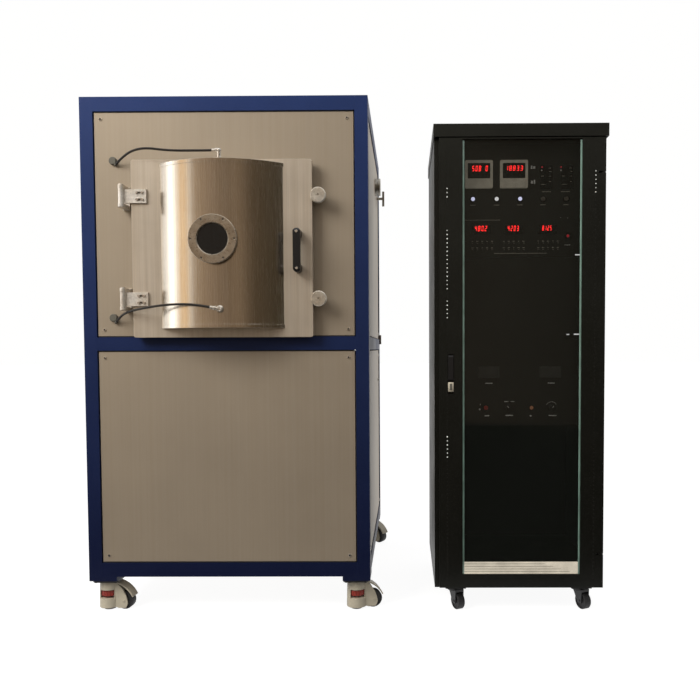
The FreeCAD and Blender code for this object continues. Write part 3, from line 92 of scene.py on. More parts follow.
# Node trees
class Graph:
    """Adds nodes to one tree and links them."""

    def __init__(self, tree: bpy.types.NodeTree) -> None:
        """Keeps the tree that the nodes go into."""
        self.tree = tree

    def feed(self, target: Socket, value: object) -> None:
        """Links a socket to an input, or sets the input's own value.

        Args:
            target: The input.
            value: A socket, a colour or another value.
        """
        if isinstance(value, Socket):
            self.tree.links.new(value, target)
        elif target.type == "RGBA":
            target.default_value = (*value[:3], 1.0)
        else:
            target.default_value = value

    def add(self, kind: str, inputs: Optional[dict] = None, **settings: object) -> bpy.types.Node:
        """Adds a node.

        Args:
            kind: The node's type name.
            inputs: What its inputs get, by name or number.
            settings: Properties that are set on the node.

        Returns:
            The new node.
        """
        node = self.tree.nodes.new(kind)
        for name, value in settings.items():
            setattr(node, name, value)
        for place, value in (inputs or {}).items():
            self.feed(node.inputs[place], value)
        return node

    def sum_of(self, operation: str, first: object, second: object) -> Socket:
        """Returns the output of a Math node on two sockets or numbers."""
        return self.add("ShaderNodeMath", {0: first, 1: second}, operation=operation).outputs[0]

    def mix(self, factor: object, first: object, second: object) -> Socket:
        """Returns the first colour at factor 0, the second at factor 1 and a mixture between."""
        return self.add("ShaderNodeMix", {0: factor, 6: first, 7: second}, data_type="RGBA").outputs[2]

    def noise(self, vector: Socket, scale: object, detail: float = 2.0, **inputs: object) -> Socket:
        """Returns the value of a noise texture.

        Args:
            vector: Where it is read.
            scale: A socket or a number.
            detail: The number of its finer layers.
            inputs: What its other inputs get.
        """
        placed = {"Vector": vector, "Scale": scale, "Detail": detail, **inputs}
        return self.add("ShaderNodeTexNoise", placed).outputs["Fac"]

    def spread(self, value: Socket, low: float, high: float, start: float = 0.0, end: float = 1.0) -> Socket:
        """Maps a value from one range to another.

        Args:
            value: The socket to map.
            low: The result at start.
            high: The result at end.
            start: The value that gives low.
            end: The value that gives high.

        Returns:
            The mapped value.
        """
        placed = dict(enumerate((value, start, end, low, high)))
        return self.add("ShaderNodeMapRange", placed).outputs[0]


def new_group(name: str, inputs: Sequence[tuple[str, str, object]],
              outputs: Sequence[tuple[str, str]]) -> tuple[Graph, bpy.types.Node, bpy.types.Node]:
    """Makes an empty node group with named sockets.

    Args:
        name: The group's name.
        inputs: The name, socket type and default value of each input.
        outputs: The name and socket type of each output.

    Returns:
        The group's graph, its input node and its output node.
    """
    tree = bpy.data.node_groups.new(name, "ShaderNodeTree")
    for label, kind, value in inputs:
        socket = tree.interface.new_socket(name=label, in_out="INPUT", socket_type=kind)
        socket.default_value = value
    for label, kind in outputs:
        tree.interface.new_socket(name=label, in_out="OUTPUT", socket_type=kind)
    graph = Graph(tree)
    return graph, graph.add("NodeGroupInput"), graph.add("NodeGroupOutput")


class Effects:
    """The shared node groups: brushed grain, soft blotches with specks, worn edges, and painted shade from foot
    to head.
    """

    def __init__(self) -> None:
        """Builds each group once."""
        self.grain = self.build_grain()
        self.blotches = self.build_blotches()
        self.edges = self.build_edges()
        self.shade = self.build_shade()

    @staticmethod
    def build_grain() -> bpy.types.NodeTree:
        """Builds streaks that run along one direction.

        Returns:
            A group with the outputs Streaks and Hairlines.
        """
        graph, source, result = new_group(
            "brushed_grain",
            [("Vector", "NodeSocketVector", (0, 0, 0)), ("Stretch", "NodeSocketVector", (1, 1, 1))],
            [("Streaks", "NodeSocketFloat"), ("Hairlines", "NodeSocketFloat")])
        scaled = graph.add(
            "ShaderNodeVectorMath", {0: source.outputs["Vector"], 1: source.outputs["Stretch"]},
            operation="MULTIPLY").outputs[0]
        for label, scale, detail in (("Streaks", 0.35, 3.0), ("Hairlines", 3.2, 2.0)):
            graph.feed(result.inputs[label], graph.noise(scaled, scale, detail))
        return graph.tree

    @staticmethod
    def build_blotches() -> bpy.types.NodeTree:
        """Builds large soft patches and small specks.

        Returns:
            A group with the outputs Patches and Specks.
        """
        graph, source, result = new_group(
            "blotches_and_specks",
            [("Vector", "NodeSocketVector", (0, 0, 0)), ("Size", "NodeSocketFloat", 4.0)],
            [("Patches", "NodeSocketFloat"), ("Specks", "NodeSocketFloat")])
        vector = source.outputs["Vector"]
        graph.feed(result.inputs["Patches"], graph.noise(vector, source.outputs["Size"], 4.0, Roughness=0.6))
        specks = graph.noise(vector, 620.0, 1.0)
        graph.feed(result.inputs["Specks"], graph.spread(specks, 0.0, 1.0, 0.62, 0.74))
        return graph.tree

    @staticmethod
    def build_edges() -> bpy.types.NodeTree:
        """Builds a rounded normal and a mask of the edges, broken up by noise.

        Returns:
            A group with the outputs Normal and Edge.
        """
        graph, source, result = new_group(
            "worn_edges",
            [("Vector", "NodeSocketVector", (0, 0, 0)), ("Radius", "NodeSocketFloat", 0.0015)],
            [("Normal", "NodeSocketVector"), ("Edge", "NodeSocketFloat")])
        rounded = graph.add("ShaderNodeBevel", {"Radius": source.outputs["Radius"]}, samples=4).outputs[0]
        flat = graph.add("ShaderNodeNewGeometry").outputs["Normal"]
        turned = graph.add("ShaderNodeVectorMath", {0: rounded, 1: flat}, operation="DOT_PRODUCT")
        bend = graph.spread(turned.outputs["Value"], 1.0, 0.0, 0.72, 0.985)
        broken = graph.spread(graph.noise(source.outputs["Vector"], 90.0, 3.0), 0.0, 1.0, 0.35, 0.65)
        graph.feed(result.inputs["Edge"], graph.sum_of("MULTIPLY", bend, broken))
        graph.feed(result.inputs["Normal"], rounded)
        return graph.tree

    @staticmethod
    def build_shade() -> bpy.types.NodeTree:
        """Builds painted shade: a soft change from the foot to the head of a tall surface.

        Returns:
            A group with the output Rise, 0 at the foot and 1 at the head.
        """
        graph, source, result = new_group(
            "painted_shade_foot_to_head",
            [("Vector", "NodeSocketVector", (0, 0, 0)), ("Foot", "NodeSocketFloat", 0.1),
             ("Head", "NodeSocketFloat", 1.8)],
            [("Rise", "NodeSocketFloat")])
        split = graph.add("ShaderNodeSeparateXYZ", {0: source.outputs["Vector"]})
        span = graph.add("ShaderNodeMapRange", {
            "Value": split.outputs["Z"], "From Min": source.outputs["Foot"],
            "From Max": source.outputs["Head"]})
        graph.feed(result.inputs["Rise"], span.outputs[0])
        return graph.tree


# Finishes
@dataclass(frozen=True)
class Finish:
    """What every finish has: its name, colour, gloss and the way its surface is broken up."""

    name: str
    colour: Colour
    roughness: float = 0.4
    metallic: float = 0.0
    patch_size: float = 5.0
    patch_strength: float = 0.12
    speck_strength: float = 0.05
    edge_radius: float = 0.0012
    edge_colour: Optional[Colour] = None
    edge_strength: float = 0.35
    specular: float = 0.5

    def build(self, effects: Effects) -> Material:
        """Builds the finish's material.

        Args:
            effects: The shared node groups.

        Returns:
            The material.
        """
        material = bpy.data.materials.new(self.name)
        material.use_nodes = True
        graph = Graph(material.node_tree)
        sockets = dict(material.node_tree.nodes["Principled BSDF"].inputs.items())
        for label, value in (
                ("Roughness", self.roughness), ("Metallic", self.metallic),
                ("Specular IOR Level", self.specular)):
            graph.feed(sockets[label], value)
        place = graph.add("ShaderNodeTexCoord").outputs["Object"]
        blotches = graph.add(
            "ShaderNodeGroup", {"Size": self.patch_size, "Vector": place}, node_tree=effects.blotches)
        edges = graph.add(
            "ShaderNodeGroup", {"Radius": self.edge_radius, "Vector": place}, node_tree=effects.edges)
        sockets.update(
            place=place, patches=blotches.outputs["Patches"], specks=blotches.outputs["Specks"],
            edge=edges.outputs["Edge"], normal=edges.outputs["Normal"])
        self.surface(graph, effects, sockets)
        return material

    def surface(self, graph: Graph, effects: Effects, sockets: Sockets) -> None:
        """Adds what the kind of finish has of its own.

        Args:
            graph: The material's graph.
            effects: The shared node groups.
            sockets: The shader's inputs and the shared effects' outputs, by name.
        """
        raise NotImplementedError

    def coloured(self, graph: Graph, sockets: Sockets, colour: object = None) -> Socket:
        """Breaks a colour up with patches, specks and worn edges and gives it to the shader.

        Args:
            graph: The material's graph.
            sockets: The named sockets.
            colour: A colour or socket, or nothing for the finish's own colour.

        Returns:
            The colour that goes to the shader.
        """
        level = graph.spread(
            sockets["patches"], 1.0 - self.patch_strength, 1.0 + self.patch_strength, 0.3, 0.7)
        base = self.colour if colour is None else colour
        shaded = graph.add("ShaderNodeHueSaturation", {"Color": base, "Value": level}).outputs[0]
        dust = graph.sum_of("MULTIPLY", sockets["specks"], self.speck_strength)
        worn = self.edge_colour or tuple(min(1.0, c * 1.9 + 0.03) for c in self.colour)
        wear = graph.sum_of("MULTIPLY", sockets["edge"], self.edge_strength)
        result = graph.mix(wear, graph.mix(dust, shaded, DUST_COLOUR), worn)
        graph.feed(sockets["Base Color"], result)
        return result

    def roughened(self, graph: Graph, sockets: Sockets, pattern: Socket, less: float, more: float) -> None:
        """Varies the gloss with a pattern, from less rough to more."""
        rough = graph.spread(pattern, self.roughness - less, self.roughness + more, 0.3, 0.7)
        graph.feed(sockets["Roughness"], rough)

    def bumped(self, graph: Graph, sockets: Sockets, height: Socket, strength: float, distance: float) -> None:
        """Sends a height to the shader's normal, over the rounded edges."""
        bump = graph.add("ShaderNodeBump", {
            "Strength": strength, "Distance": distance, "Height": height, "Normal": sockets["normal"]})
        graph.feed(sockets["Normal"], bump.outputs[0])


@dataclass(frozen=True)
class Paint(Finish):
    """Powder coat with orange peel, darkened towards the foot by painted shade."""

    painted_foot_shade: Optional[Colour] = None
    peel: float = 0.25
    peel_scale: float = 420.0

    def surface(self, graph: Graph, effects: Effects, sockets: Sockets) -> None:
        """Adds the painted shade towards the foot and the orange peel."""
        colour: object = self.colour
        # Painted shade: the colour darkens from the head down to the foot's colour.
        if self.painted_foot_shade:
            shade = graph.add("ShaderNodeGroup", {"Vector": sockets["place"]}, node_tree=effects.shade)
            colour = graph.mix(shade.outputs["Rise"], self.painted_foot_shade, self.colour)
        self.coloured(graph, sockets, colour)
        self.roughened(graph, sockets, sockets["patches"], 0.05, 0.07)
        self.bumped(graph, sockets, graph.noise(sockets["place"], self.peel_scale), self.peel, PEEL_DEPTH)


@dataclass(frozen=True)
class Brushed(Finish):
    """Metal with brush marks that run one way."""

    direction: Direction = Direction.UPRIGHT
    streaks: float = 0.22
    hairlines: float = 0.12
    grain_depth: float = 0.12
    warm: Colour = (1.0, 0.93, 0.84)

    def surface(self, graph: Graph, effects: Effects, sockets: Sockets) -> None:
        """Adds the streaks and the hairlines."""
        grain = graph.add(
            "ShaderNodeGroup", {"Stretch": self.direction.value, "Vector": sockets["place"]},
            node_tree=effects.grain).outputs
        deep = tuple(c * (1.0 - self.streaks) * w for c, w in zip(self.colour, self.warm))
        light = tuple(min(1.0, c * (1.0 + self.streaks)) for c in self.colour)
        streaked = graph.mix(graph.spread(grain["Streaks"], 0.0, 1.0, 0.35, 0.65), deep, light)
        level = graph.spread(grain["Hairlines"], 1.0 - self.hairlines, 1.0 + self.hairlines, 0.3, 0.7)
        fine = graph.add("ShaderNodeHueSaturation", {"Color": streaked, "Value": level})
        self.coloured(graph, sockets, fine.outputs[0])
        self.roughened(graph, sockets, grain["Hairlines"], 0.06, 0.09)
        self.bumped(graph, sockets, grain["Hairlines"], self.grain_depth, TEXTURE_DEPTH)


@dataclass(frozen=True)
class Moulded(Finish):
    """Plastic or rubber with a fine moulded texture."""

    texture: float = 0.15
    texture_scale: float = 900.0

    def surface(self, graph: Graph, effects: Effects, sockets: Sockets) -> None:
        """Adds the moulded texture."""
        self.coloured(graph, sockets)
        self.roughened(graph, sockets, sockets["patches"], 0.06, 0.08)
        texture = graph.noise(sockets["place"], self.texture_scale)
        self.bumped(graph, sockets, texture, self.texture, TEXTURE_DEPTH)


@dataclass(frozen=True)
class Clear(Finish):
    """Clear glass with a faint tint and light smears."""

    edge_strength: float = 0.0
    specular: float = 0.9
    alpha: float = 0.3

    def surface(self, graph: Graph, effects: Effects, sockets: Sockets) -> None:
        """Adds the smears and the glass's cloudiness."""
        self.coloured(graph, sockets)
        smear = graph.spread(sockets["patches"], self.roughness, self.roughness + 0.04, 0.45, 0.75)
        graph.feed(sockets["Roughness"], smear)
        cloud = graph.spread(sockets["patches"], self.alpha - 0.02, self.alpha + 0.03, 0.3, 0.7)
        graph.feed(sockets["Alpha"], cloud)


@dataclass(frozen=True)
class Glow(Finish):
    """A lit surface whose brightness varies a little from place to place."""

    edge_strength: float = 0.0
    strength: float = 1.0

    def surface(self, graph: Graph, effects: Effects, sockets: Sockets) -> None:
        """Adds the light."""
        graph.feed(sockets["Emission Color"], self.coloured(graph, sockets))
        graph.feed(sockets["Emission Strength"], self.strength)


@dataclass(frozen=True)
class Banded(Finish):
    """A foot in three colours by height: the pad, the thumbwheel and the stem above."""

    pad_colour: Colour = (0.012, 0.012, 0.012)
    stem_colour: Colour = (0.32, 0.31, 0.29)
    pad_top: float = 0.007
    wheel_low: float = 0.0505
    wheel_high: float = 0.0705

    def surface(self, graph: Graph, effects: Effects, sockets: Sockets) -> None:
        """Adds the three bands."""
        height = graph.add("ShaderNodeSeparateXYZ", {0: sockets["place"]}).outputs["Z"]
        above_pad = graph.sum_of("GREATER_THAN", height, self.pad_top)
        above_low = graph.sum_of("GREATER_THAN", height, self.wheel_low)
        below_high = graph.sum_of("LESS_THAN", height, self.wheel_high)
        lower = graph.mix(above_pad, self.pad_colour, self.stem_colour)
        wheel = graph.sum_of("MULTIPLY", above_low, below_high)
        self.coloured(graph, sockets, graph.mix(wheel, lower, self.colour))


class Palette:
    """Every finish of the two cabinets, built once and handed out by name."""

    FINISHES: tuple[Finish, ...] = (
        # The navy frame darkens towards its foot as painted shade.
        Paint("navy_frame_paint", (0.017, 0.036, 0.128), 0.45, painted_foot_shade=(0.0035, 0.0075, 0.038),
              edge_colour=(0.08, 0.13, 0.3), patch_strength=0.08, specular=0.2),
        Brushed("beige_panel_steel", (0.41, 0.342, 0.262), 0.5, 0.35,
                streaks=0.015, hairlines=0.04, grain_depth=0.06, patch_strength=0.05, patch_size=2.2,
                speck_strength=0.16, warm=(1.0, 0.99, 0.97)),
        Brushed("beige_side_steel", (0.41, 0.342, 0.262), 0.45, 0.4,
                streaks=0.03, hairlines=0.04, patch_strength=0.07, patch_size=2.2, speck_strength=0.08,
                warm=(1.0, 0.99, 0.97)),
        Brushed("door_plate_steel", (0.66, 0.58, 0.48), 0.42, 0.55,
                streaks=0.04, hairlines=0.1, patch_size=3.5, patch_strength=0.1, warm=(1.0, 0.98, 0.95)),
        Brushed("drum_steel", (0.72, 0.655, 0.57), 0.2, 1.0, direction=Direction.ROUND,
                streaks=0.05, hairlines=0.08, grain_depth=0.05, patch_size=4.0, patch_strength=0.06,
                speck_strength=0.03, warm=(1.0, 0.97, 0.92)),
        Brushed("ring_steel", (0.56, 0.5, 0.42), 0.3, 0.9, direction=Direction.NONE,
                streaks=0.12, hairlines=0.08, patch_size=22.0, edge_colour=(0.9, 0.86, 0.8)),
        Brushed("chamber_steel", (0.5, 0.47, 0.42), 0.34, 0.9, streaks=0.12),
        Brushed("bright_steel", (0.78, 0.75, 0.7), 0.22, 0.8, direction=Direction.NONE, streaks=0.08,
                patch_size=40.0, edge_radius=0.0006),
        Brushed("hinge_steel", (0.74, 0.71, 0.66), 0.34, 0.45, direction=Direction.NONE, streaks=0.08,
                patch_size=40.0, edge_colour=(0.9, 0.88, 0.84)),
        Brushed("turned_aluminium", (0.78, 0.75, 0.68), 0.38, 0.75, direction=Direction.NONE,
                streaks=0.06, patch_size=40.0, edge_radius=0.0008),
        Brushed("bare_copper", (0.62, 0.27, 0.13), 0.32, 1.0, streaks=0.16),
        Brushed("zinc_plate", (0.42, 0.41, 0.38), 0.36, 0.85, direction=Direction.NONE, streaks=0.12,
                patch_size=30.0),
        Brushed("dark_button_steel", (0.2, 0.19, 0.16), 0.35, 0.7, direction=Direction.NONE, patch_size=80.0),
        Moulded("soft_black_rubber", (0.012, 0.012, 0.013), 0.62, patch_strength=0.2, speck_strength=0.08),
        Moulded("black_hose_rubber", (0.016, 0.013, 0.011), 0.4, patch_size=30.0, patch_strength=0.25),
        Moulded("black_moulding", (0.011, 0.011, 0.012), 0.36, edge_colour=(0.06, 0.06, 0.06)),
        Moulded("gland_grey", (0.125, 0.118, 0.096), 0.5, edge_colour=(0.2, 0.19, 0.16)),
        Moulded("red_moulding", (0.42, 0.03, 0.022), 0.42, patch_size=40.0, edge_radius=0.0006),
        Moulded("dark_screen", (0.006, 0.0065, 0.006), 0.16, patch_size=30.0, texture=0.02),
        Moulded("screw_shadow", (0.01, 0.009, 0.008), 0.7, patch_size=80.0),
        Moulded("printed_mark", (0.85, 0.84, 0.78), 0.6, patch_size=260.0, patch_strength=0.5),
        Moulded("dim_mark", (0.4, 0.37, 0.3), 0.6, patch_size=260.0, patch_strength=0.55),
        Moulded("meter_edge", (0.05, 0.05, 0.045), 0.35, patch_size=60.0, patch_strength=0.3),
        Paint("cream_enamel", (0.6, 0.54, 0.42), 0.4, peel=0.2, patch_size=26.0, edge_strength=0.2,
              edge_radius=0.0015),
        # The rack's black coat darkens towards its foot as painted shade.
        Paint("black_powder_coat", (0.013, 0.0135, 0.0105), 0.42, painted_foot_shade=(0.004, 0.0045, 0.003),
              specular=0.3, edge_colour=(0.07, 0.07, 0.06), peel=0.5, peel_scale=900.0, speck_strength=0.1),
        # The instrument plates darken towards their foot as painted shade.
        Paint("instrument_black", (0.024, 0.024, 0.019), 0.4, painted_foot_shade=(0.006, 0.006, 0.005),
              peel=0.35, peel_scale=1100.0, patch_strength=0.14),
        Paint("caster_plate_black", (0.012, 0.012, 0.014), 0.45, peel=0.3),
        Clear("door_glass", (0.012, 0.015, 0.013), 0.04, alpha=0.34,
              patch_size=2.5, speck_strength=0.02),
        Clear("viewport_pane", (0.006, 0.007, 0.008), 0.03, alpha=0.72, patch_size=14.0),
        Clear("pane_edge", (0.3, 0.48, 0.4), 0.2, alpha=0.9, patch_size=12.0,
              patch_strength=0.25),
        Glow("red_digits", (1.0, 0.03, 0.03), 0.4, strength=1.5, patch_size=60.0),
        Glow("blue_white_light", (0.72, 0.74, 1.0), 0.4, strength=1.5, patch_size=300.0),
        Glow("white_light", (0.85, 0.85, 0.85), 0.4, strength=1.2, patch_size=300.0),
        Glow("red_light", (0.7, 0.03, 0.05), 0.4, strength=0.55, patch_size=200.0),
        # The foot strip glows as painted light; it is no lamp.
        Glow("foot_strip_painted_glow", (0.78, 0.7, 0.56), 0.4, strength=1.6, patch_size=9.0,
             patch_strength=0.25),
        Glow("amber_light", (0.36, 0.16, 0.08), 0.35, strength=0.35, patch_size=200.0),
        # The gauges' beige bezels glow faintly as painted light.
        Glow("beige_bezel_painted_glow", (0.4, 0.365, 0.285), 0.5, strength=0.3, patch_size=40.0),
        Glow("vent_light", (0.85, 0.87, 0.82), 0.5, strength=0.6, patch_size=200.0,
             patch_strength=0.6),
        Banded("levelling_foot", (0.3, 0.03, 0.02), 0.5, patch_size=40.0, edge_radius=0.0006),
    )

    def __init__(self) -> None:
        """Builds the shared effects and then each finish."""
        effects = Effects()
        self.made = {finish.name: finish.build(effects) for finish in self.FINISHES}

    def dress(self, name: str, *nodes: str) -> None:
        """Gives CAD nodes a finish through their material slots.

        Args:
            name: The finish.
            nodes: The names of the CAD nodes.
        """
        for node in nodes:
            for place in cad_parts[node].material_slots:
                place.material = self.made[name]


# Modelling
class Bench:
    """Starts, shapes and finishes meshes with the usual modelling operators."""

    @staticmethod
    def clear() -> None:
        """Leaves edit mode and selects nothing."""
        active = bpy.context.view_layer.objects.active
        if active and active.mode != "OBJECT":
            bpy.ops.object.mode_set(mode="OBJECT")
        bpy.ops.object.select_all(action="DESELECT")

    @classmethod
    def hold(cls, *pieces: Piece) -> None:
        """Selects pieces and makes the first one active."""
        cls.clear()
        for piece in pieces:
            piece.select_set(True)
        bpy.context.view_layer.objects.active = pieces[0]

    @staticmethod
    def link(name: str, data: bpy.types.ID) -> Piece:
        """Returns a new object of some data in the scene."""
        piece = bpy.data.objects.new(name, data)
        bpy.context.scene.collection.objects.link(piece)
        return piece

    @staticmethod
    def settle(name: str) -> Piece:
        """Names the active object and puts its place into its mesh."""
        piece = bpy.context.object
        piece.name = name
        piece.data.name = name
        bpy.ops.object.transform_apply(location=True, rotation=True, scale=True)
        return piece

    @classmethod
    def block(cls, name: str, low: Sequence[float], high: Sequence[float], bevel: float = 0.0,
              steps: int = 2) -> Piece:
        """Makes a block with rounded edges.

        Args:
            name: The piece's name.
            low: Its lowest corner in metres.
            high: Its highest corner in metres.
            bevel: The radius of its edges.
            steps: The number of faces round an edge.

        Returns:
            The new piece.
        """
        cls.clear()
        size = Vector(high) - Vector(low)
        bpy.ops.mesh.primitive_cube_add(size=1.0, location=(Vector(low) + Vector(high)) / 2)
        bpy.context.object.scale = size
        piece = cls.settle(name)
        if bevel:
            bpy.ops.object.mode_set(mode="EDIT")
            bpy.ops.mesh.select_all(action="SELECT")
            bpy.ops.mesh.bevel(offset=bevel, segments=steps, affect="EDGES")
            bpy.ops.object.mode_set(mode="OBJECT")
        return piece

    @classmethod
    def disc(cls, name: str, centre: Sequence[float], radius: float, depth: float, sides: int = 32,
             bevel: float = 0.0) -> Piece:
        """Makes a round piece along Y with bevelled rims.

        Args:
            name: The piece's name.
            centre: The middle of the piece in metres.
            radius: Its radius.
            depth: Its length.
            sides: The number of its sides.
            bevel: The width of its rims' bevel.

        Returns:
            The new piece.
        """
        cls.clear()
        bpy.ops.mesh.primitive_cylinder_add(
            vertices=sides, radius=radius, depth=depth, location=centre, rotation=(math.pi / 2, 0.0, 0.0))
        piece = cls.settle(name)
        if bevel:
            bpy.ops.object.mode_set(mode="EDIT")
            bpy.ops.mesh.select_all(action="DESELECT")
            bpy.ops.mesh.select_mode(type="EDGE")
            bpy.ops.mesh.edges_select_sharp(sharpness=math.radians(75))
            bpy.ops.mesh.bevel(offset=bevel, segments=2, affect="EDGES")
            bpy.ops.object.mode_set(mode="OBJECT")
        return piece

    @classmethod
    def pick(cls, piece: Piece, test: Test) -> None:
        """Opens a piece in edit mode with the faces selected that pass a test.

        Args:
            piece: The piece to open.
            test: Says yes to a face's middle and normal.
        """
        cls.hold(piece)
        bpy.ops.object.mode_set(mode="EDIT")
        bpy.ops.mesh.select_mode(type="FACE")
        bpy.ops.mesh.select_all(action="DESELECT")
        mesh = bmesh.from_edit_mesh(piece.data)
        for face in mesh.faces:
            face.select = test(face.calc_center_median(), face.normal)
        bmesh.update_edit_mesh(piece.data)

    @classmethod
    def sink(cls, piece: Piece, border: float, depth: float) -> None:
        """Insets a piece's front and moves it, as a recess or a raised field.

        Args:
            piece: The piece to shape.
            border: The width of the rim that stays.
            depth: How far the inner face moves back.
        """
        cls.pick(piece, lambda middle, normal: normal.y < -0.99)
        bpy.ops.mesh.inset(thickness=border)
        bpy.ops.mesh.extrude_region_move(TRANSFORM_OT_translate={"value": (0, depth, 0)})
        bpy.ops.object.mode_set(mode="OBJECT")

    @staticmethod
    def copy(piece: Piece, name: str, move: Sequence[float], turn: float = 0.0,
             about: Sequence[float] = (0, 0, 0)) -> Piece:
        """Copies a piece with a mesh of its own.

        Args:
            piece: The piece to copy.
            name: The copy's name.
            move: How far the copy is moved.
            turn: How far it is first turned about Y, in radians.
            about: The point that it turns about.

        Returns:
            The copy.
        """
        other = piece.copy()
        other.data = piece.data.copy()
        other.name = name
        bpy.context.scene.collection.objects.link(other)
        pivot = Matrix.Translation(Vector(about))
        spin = pivot @ Matrix.Rotation(turn, 4, "Y") @ pivot.inverted()
        other.data.transform(Matrix.Translation(Vector(move)) @ spin)
        return other

    @classmethod
    def merge(cls, name: str, pieces: Sequence[Piece]) -> Piece:
        """Joins pieces into one mesh.

        Args:
            name: The joined piece's name.
            pieces: The pieces.

        Returns:
            The joined piece.
        """
        cls.hold(*pieces)
        if len(pieces) > 1:
            bpy.ops.object.join()
        pieces[0].name = name
        pieces[0].data.name = name
        return pieces[0]

    @classmethod
    def repeat(cls, piece: Piece, count: int, step: Sequence[float]) -> Piece:
        """Repeats a piece in a row with an applied array."""
        cls.hold(piece)
        array = piece.modifiers.new("row", "ARRAY")
        array.use_relative_offset = False
        array.use_constant_offset = True
        array.constant_offset_displace = step
        array.count = count
        bpy.ops.object.modifier_apply(modifier="row")
        return piece

    @classmethod
    def hand_over(cls, piece: Piece, body: Optional[str], slot: str, material: Material) -> None:
        """Gives a finished piece its material, shading and body.

        Args:
            piece: The piece.
            body: The body that it rides on, or nothing, which leaves it unattached.
            slot: The record's material slot; not used.
            material: Its finish.
        """
        piece.data.materials.clear()
        piece.data.materials.append(material)
        cls.hold(piece)
        bpy.ops.object.shade_smooth_by_angle(angle=math.radians(SMOOTH_DEGREES))
        if body:
            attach(piece, body)
        log.info("%s: %d faces", piece.name, len(piece.data.polygons))


# Studio
@dataclass
class Studio:
    """The floor, the white surroundings, the lamps, the screens that metal reflects, and the camera."""

    ambient: float = 0.5
    ambient_colour: Colour = (1.0, 0.98, 0.95)
    floor_half: float = 40.0
    floor_diffuse: float = 0.24
    floor_glow: float = 0.93
    floor_bounce: Colour = (0.13, 0.12, 0.11)
    sky_colour: Colour = (1.0, 1.0, 0.995)
    lamp_colour: Colour = (1.0, 0.97, 0.92)
    key_place: Point = (-2.3, -2.3, 3.1)
    key_aim: Point = (-0.5, 0.0, 1.3)
    key_power: float = 108.0
    key_size: float = 1.8
    fill_place: Point = (2.6, -3.2, 3.0)
    fill_aim: Point = (0.4, 0.0, 1.0)
    fill_power: float = 8.0
    screen_centre: Point = (-0.4165, -0.5, 0.0)
    screen_radius: float = 6.5
    screen_height: float = 6.0
    screen_steps: int = 24
    room_angles: Place = (-47.0, 80.0)
    room_span: Place = (-5.2, 5.8)
    room_stops: tuple[tuple[float, Colour], ...] = (
        (0.0, (0.42, 0.32, 0.22)), (0.2, (0.3, 0.225, 0.16)), (0.42, (0.2, 0.15, 0.105)),
        (0.55, (0.23, 0.17, 0.115)), (0.72, (0.095, 0.07, 0.045)), (1.0, (0.05, 0.04, 0.025)),
    )
    glow_screens: tuple[tuple[str, float, float, float, Colour, float], ...] = (
        ("window", -83.0, -71.0, 0.0, (1.0, 0.99, 0.98), 2.3),
        ("curtain", -66.0, -52.0, 0.02, (0.85, 0.6, 0.34), 1.15),
    )
    floor_screen_span: tuple[float, float, float, float] = (-6.0, 7.0, -0.62, -7.0)
    floor_screen_colour: Colour = (0.05, 0.042, 0.033)
    camera_place: Point = (0.2135, -2.8983, 0.9369)
    camera_yaw: float = 0.0073
    camera_pitch: float = 0.0415
    camera_roll: float = 0.0038
    focal_pixels: float = 704.47
    frame_pixels: float = 700.0
    sensor: float = 36.0
    shift_right_pixels: float = 50.93
    shift_down_pixels: float = 27.75

    def build(self) -> None:
        """Builds the whole studio."""
        self.white_world()
        self.floor()
        self.lamp("key_light", self.key_place, self.key_aim, self.key_power)
        self.lamp("fill_light", self.fill_place, self.fill_aim, self.fill_power)
        self.screen("room_screen", *self.room_angles, 0.0, self.room_material())
        for name, start, end, closer, colour, strength in self.glow_screens:
            glow = self.plain_glow(f"{name}_glow", colour, strength)
            self.screen(f"{name}_screen", start, end, closer, glow)
        self.floor_screen()
        self.camera()
        bpy.context.scene.view_settings.view_transform = "Standard"

    @staticmethod
    def by_ray(graph: Graph, lit: Socket, shown: Socket) -> Socket:
        """Chooses between two shaders by the kind of ray.

        Args:
            graph: The graph.
            lit: The shader for the light that falls on the object.
            shown: The shader for camera, glossy and transmission rays.

        Returns:
            The chosen shader.
        """
        path = graph.add("ShaderNodeLightPath").outputs
        first = graph.sum_of("MAXIMUM", path["Is Camera Ray"], path["Is Glossy Ray"])
        seen = graph.sum_of("MAXIMUM", first, path["Is Transmission Ray"])
        return graph.add("ShaderNodeMixShader", {0: seen, 1: lit, 2: shown}).outputs[0]

    @staticmethod
    def bare(name: str) -> tuple[Material, Graph, Socket]:
        """Returns a material without a shader, its graph and the input of its surface."""
        material = bpy.data.materials.new(name)
        material.use_nodes = True
        tree = material.node_tree
        tree.nodes.remove(tree.nodes["Principled BSDF"])
        return material, Graph(tree), tree.nodes["Material Output"].inputs[0]

    def white_world(self) -> None:
        """Shows white behind the object and lights it with a softer level."""
        world = bpy.data.worlds.new("studio_world")
        bpy.context.scene.world = world
        world.use_nodes = True
        graph = Graph(world.node_tree)
        lighting = world.node_tree.nodes["Background"]
        graph.feed(lighting.inputs["Color"], self.ambient_colour)
        graph.feed(lighting.inputs["Strength"], self.ambient)
        white = graph.add("ShaderNodeBackground", {"Color": self.sky_colour})
        chosen = self.by_ray(graph, lighting.outputs[0], white.outputs[0])
        graph.feed(world.node_tree.nodes["World Output"].inputs[0], chosen)

    def floor(self) -> None:
        """Lays a pale floor that keeps the object's shadow."""
        Bench.clear()
        bpy.ops.mesh.primitive_plane_add(size=2 * self.floor_half, location=(0, 0, 0))
        floor = Bench.settle("studio_floor")
        material, graph, surface = self.bare("pale_floor")
        pale = graph.add("ShaderNodeBsdfDiffuse", {"Color": (self.floor_diffuse,) * 3}).outputs[0]
        glow = graph.add("ShaderNodeEmission", {"Strength": self.floor_glow}).outputs[0]
        shown = graph.add("ShaderNodeAddShader", {0: pale, 1: glow}).outputs[0]
        bounce = graph.add("ShaderNodeBsdfDiffuse", {"Color": self.floor_bounce}).outputs[0]
        graph.feed(surface, self.by_ray(graph, bounce, shown))
        floor.data.materials.append(material)

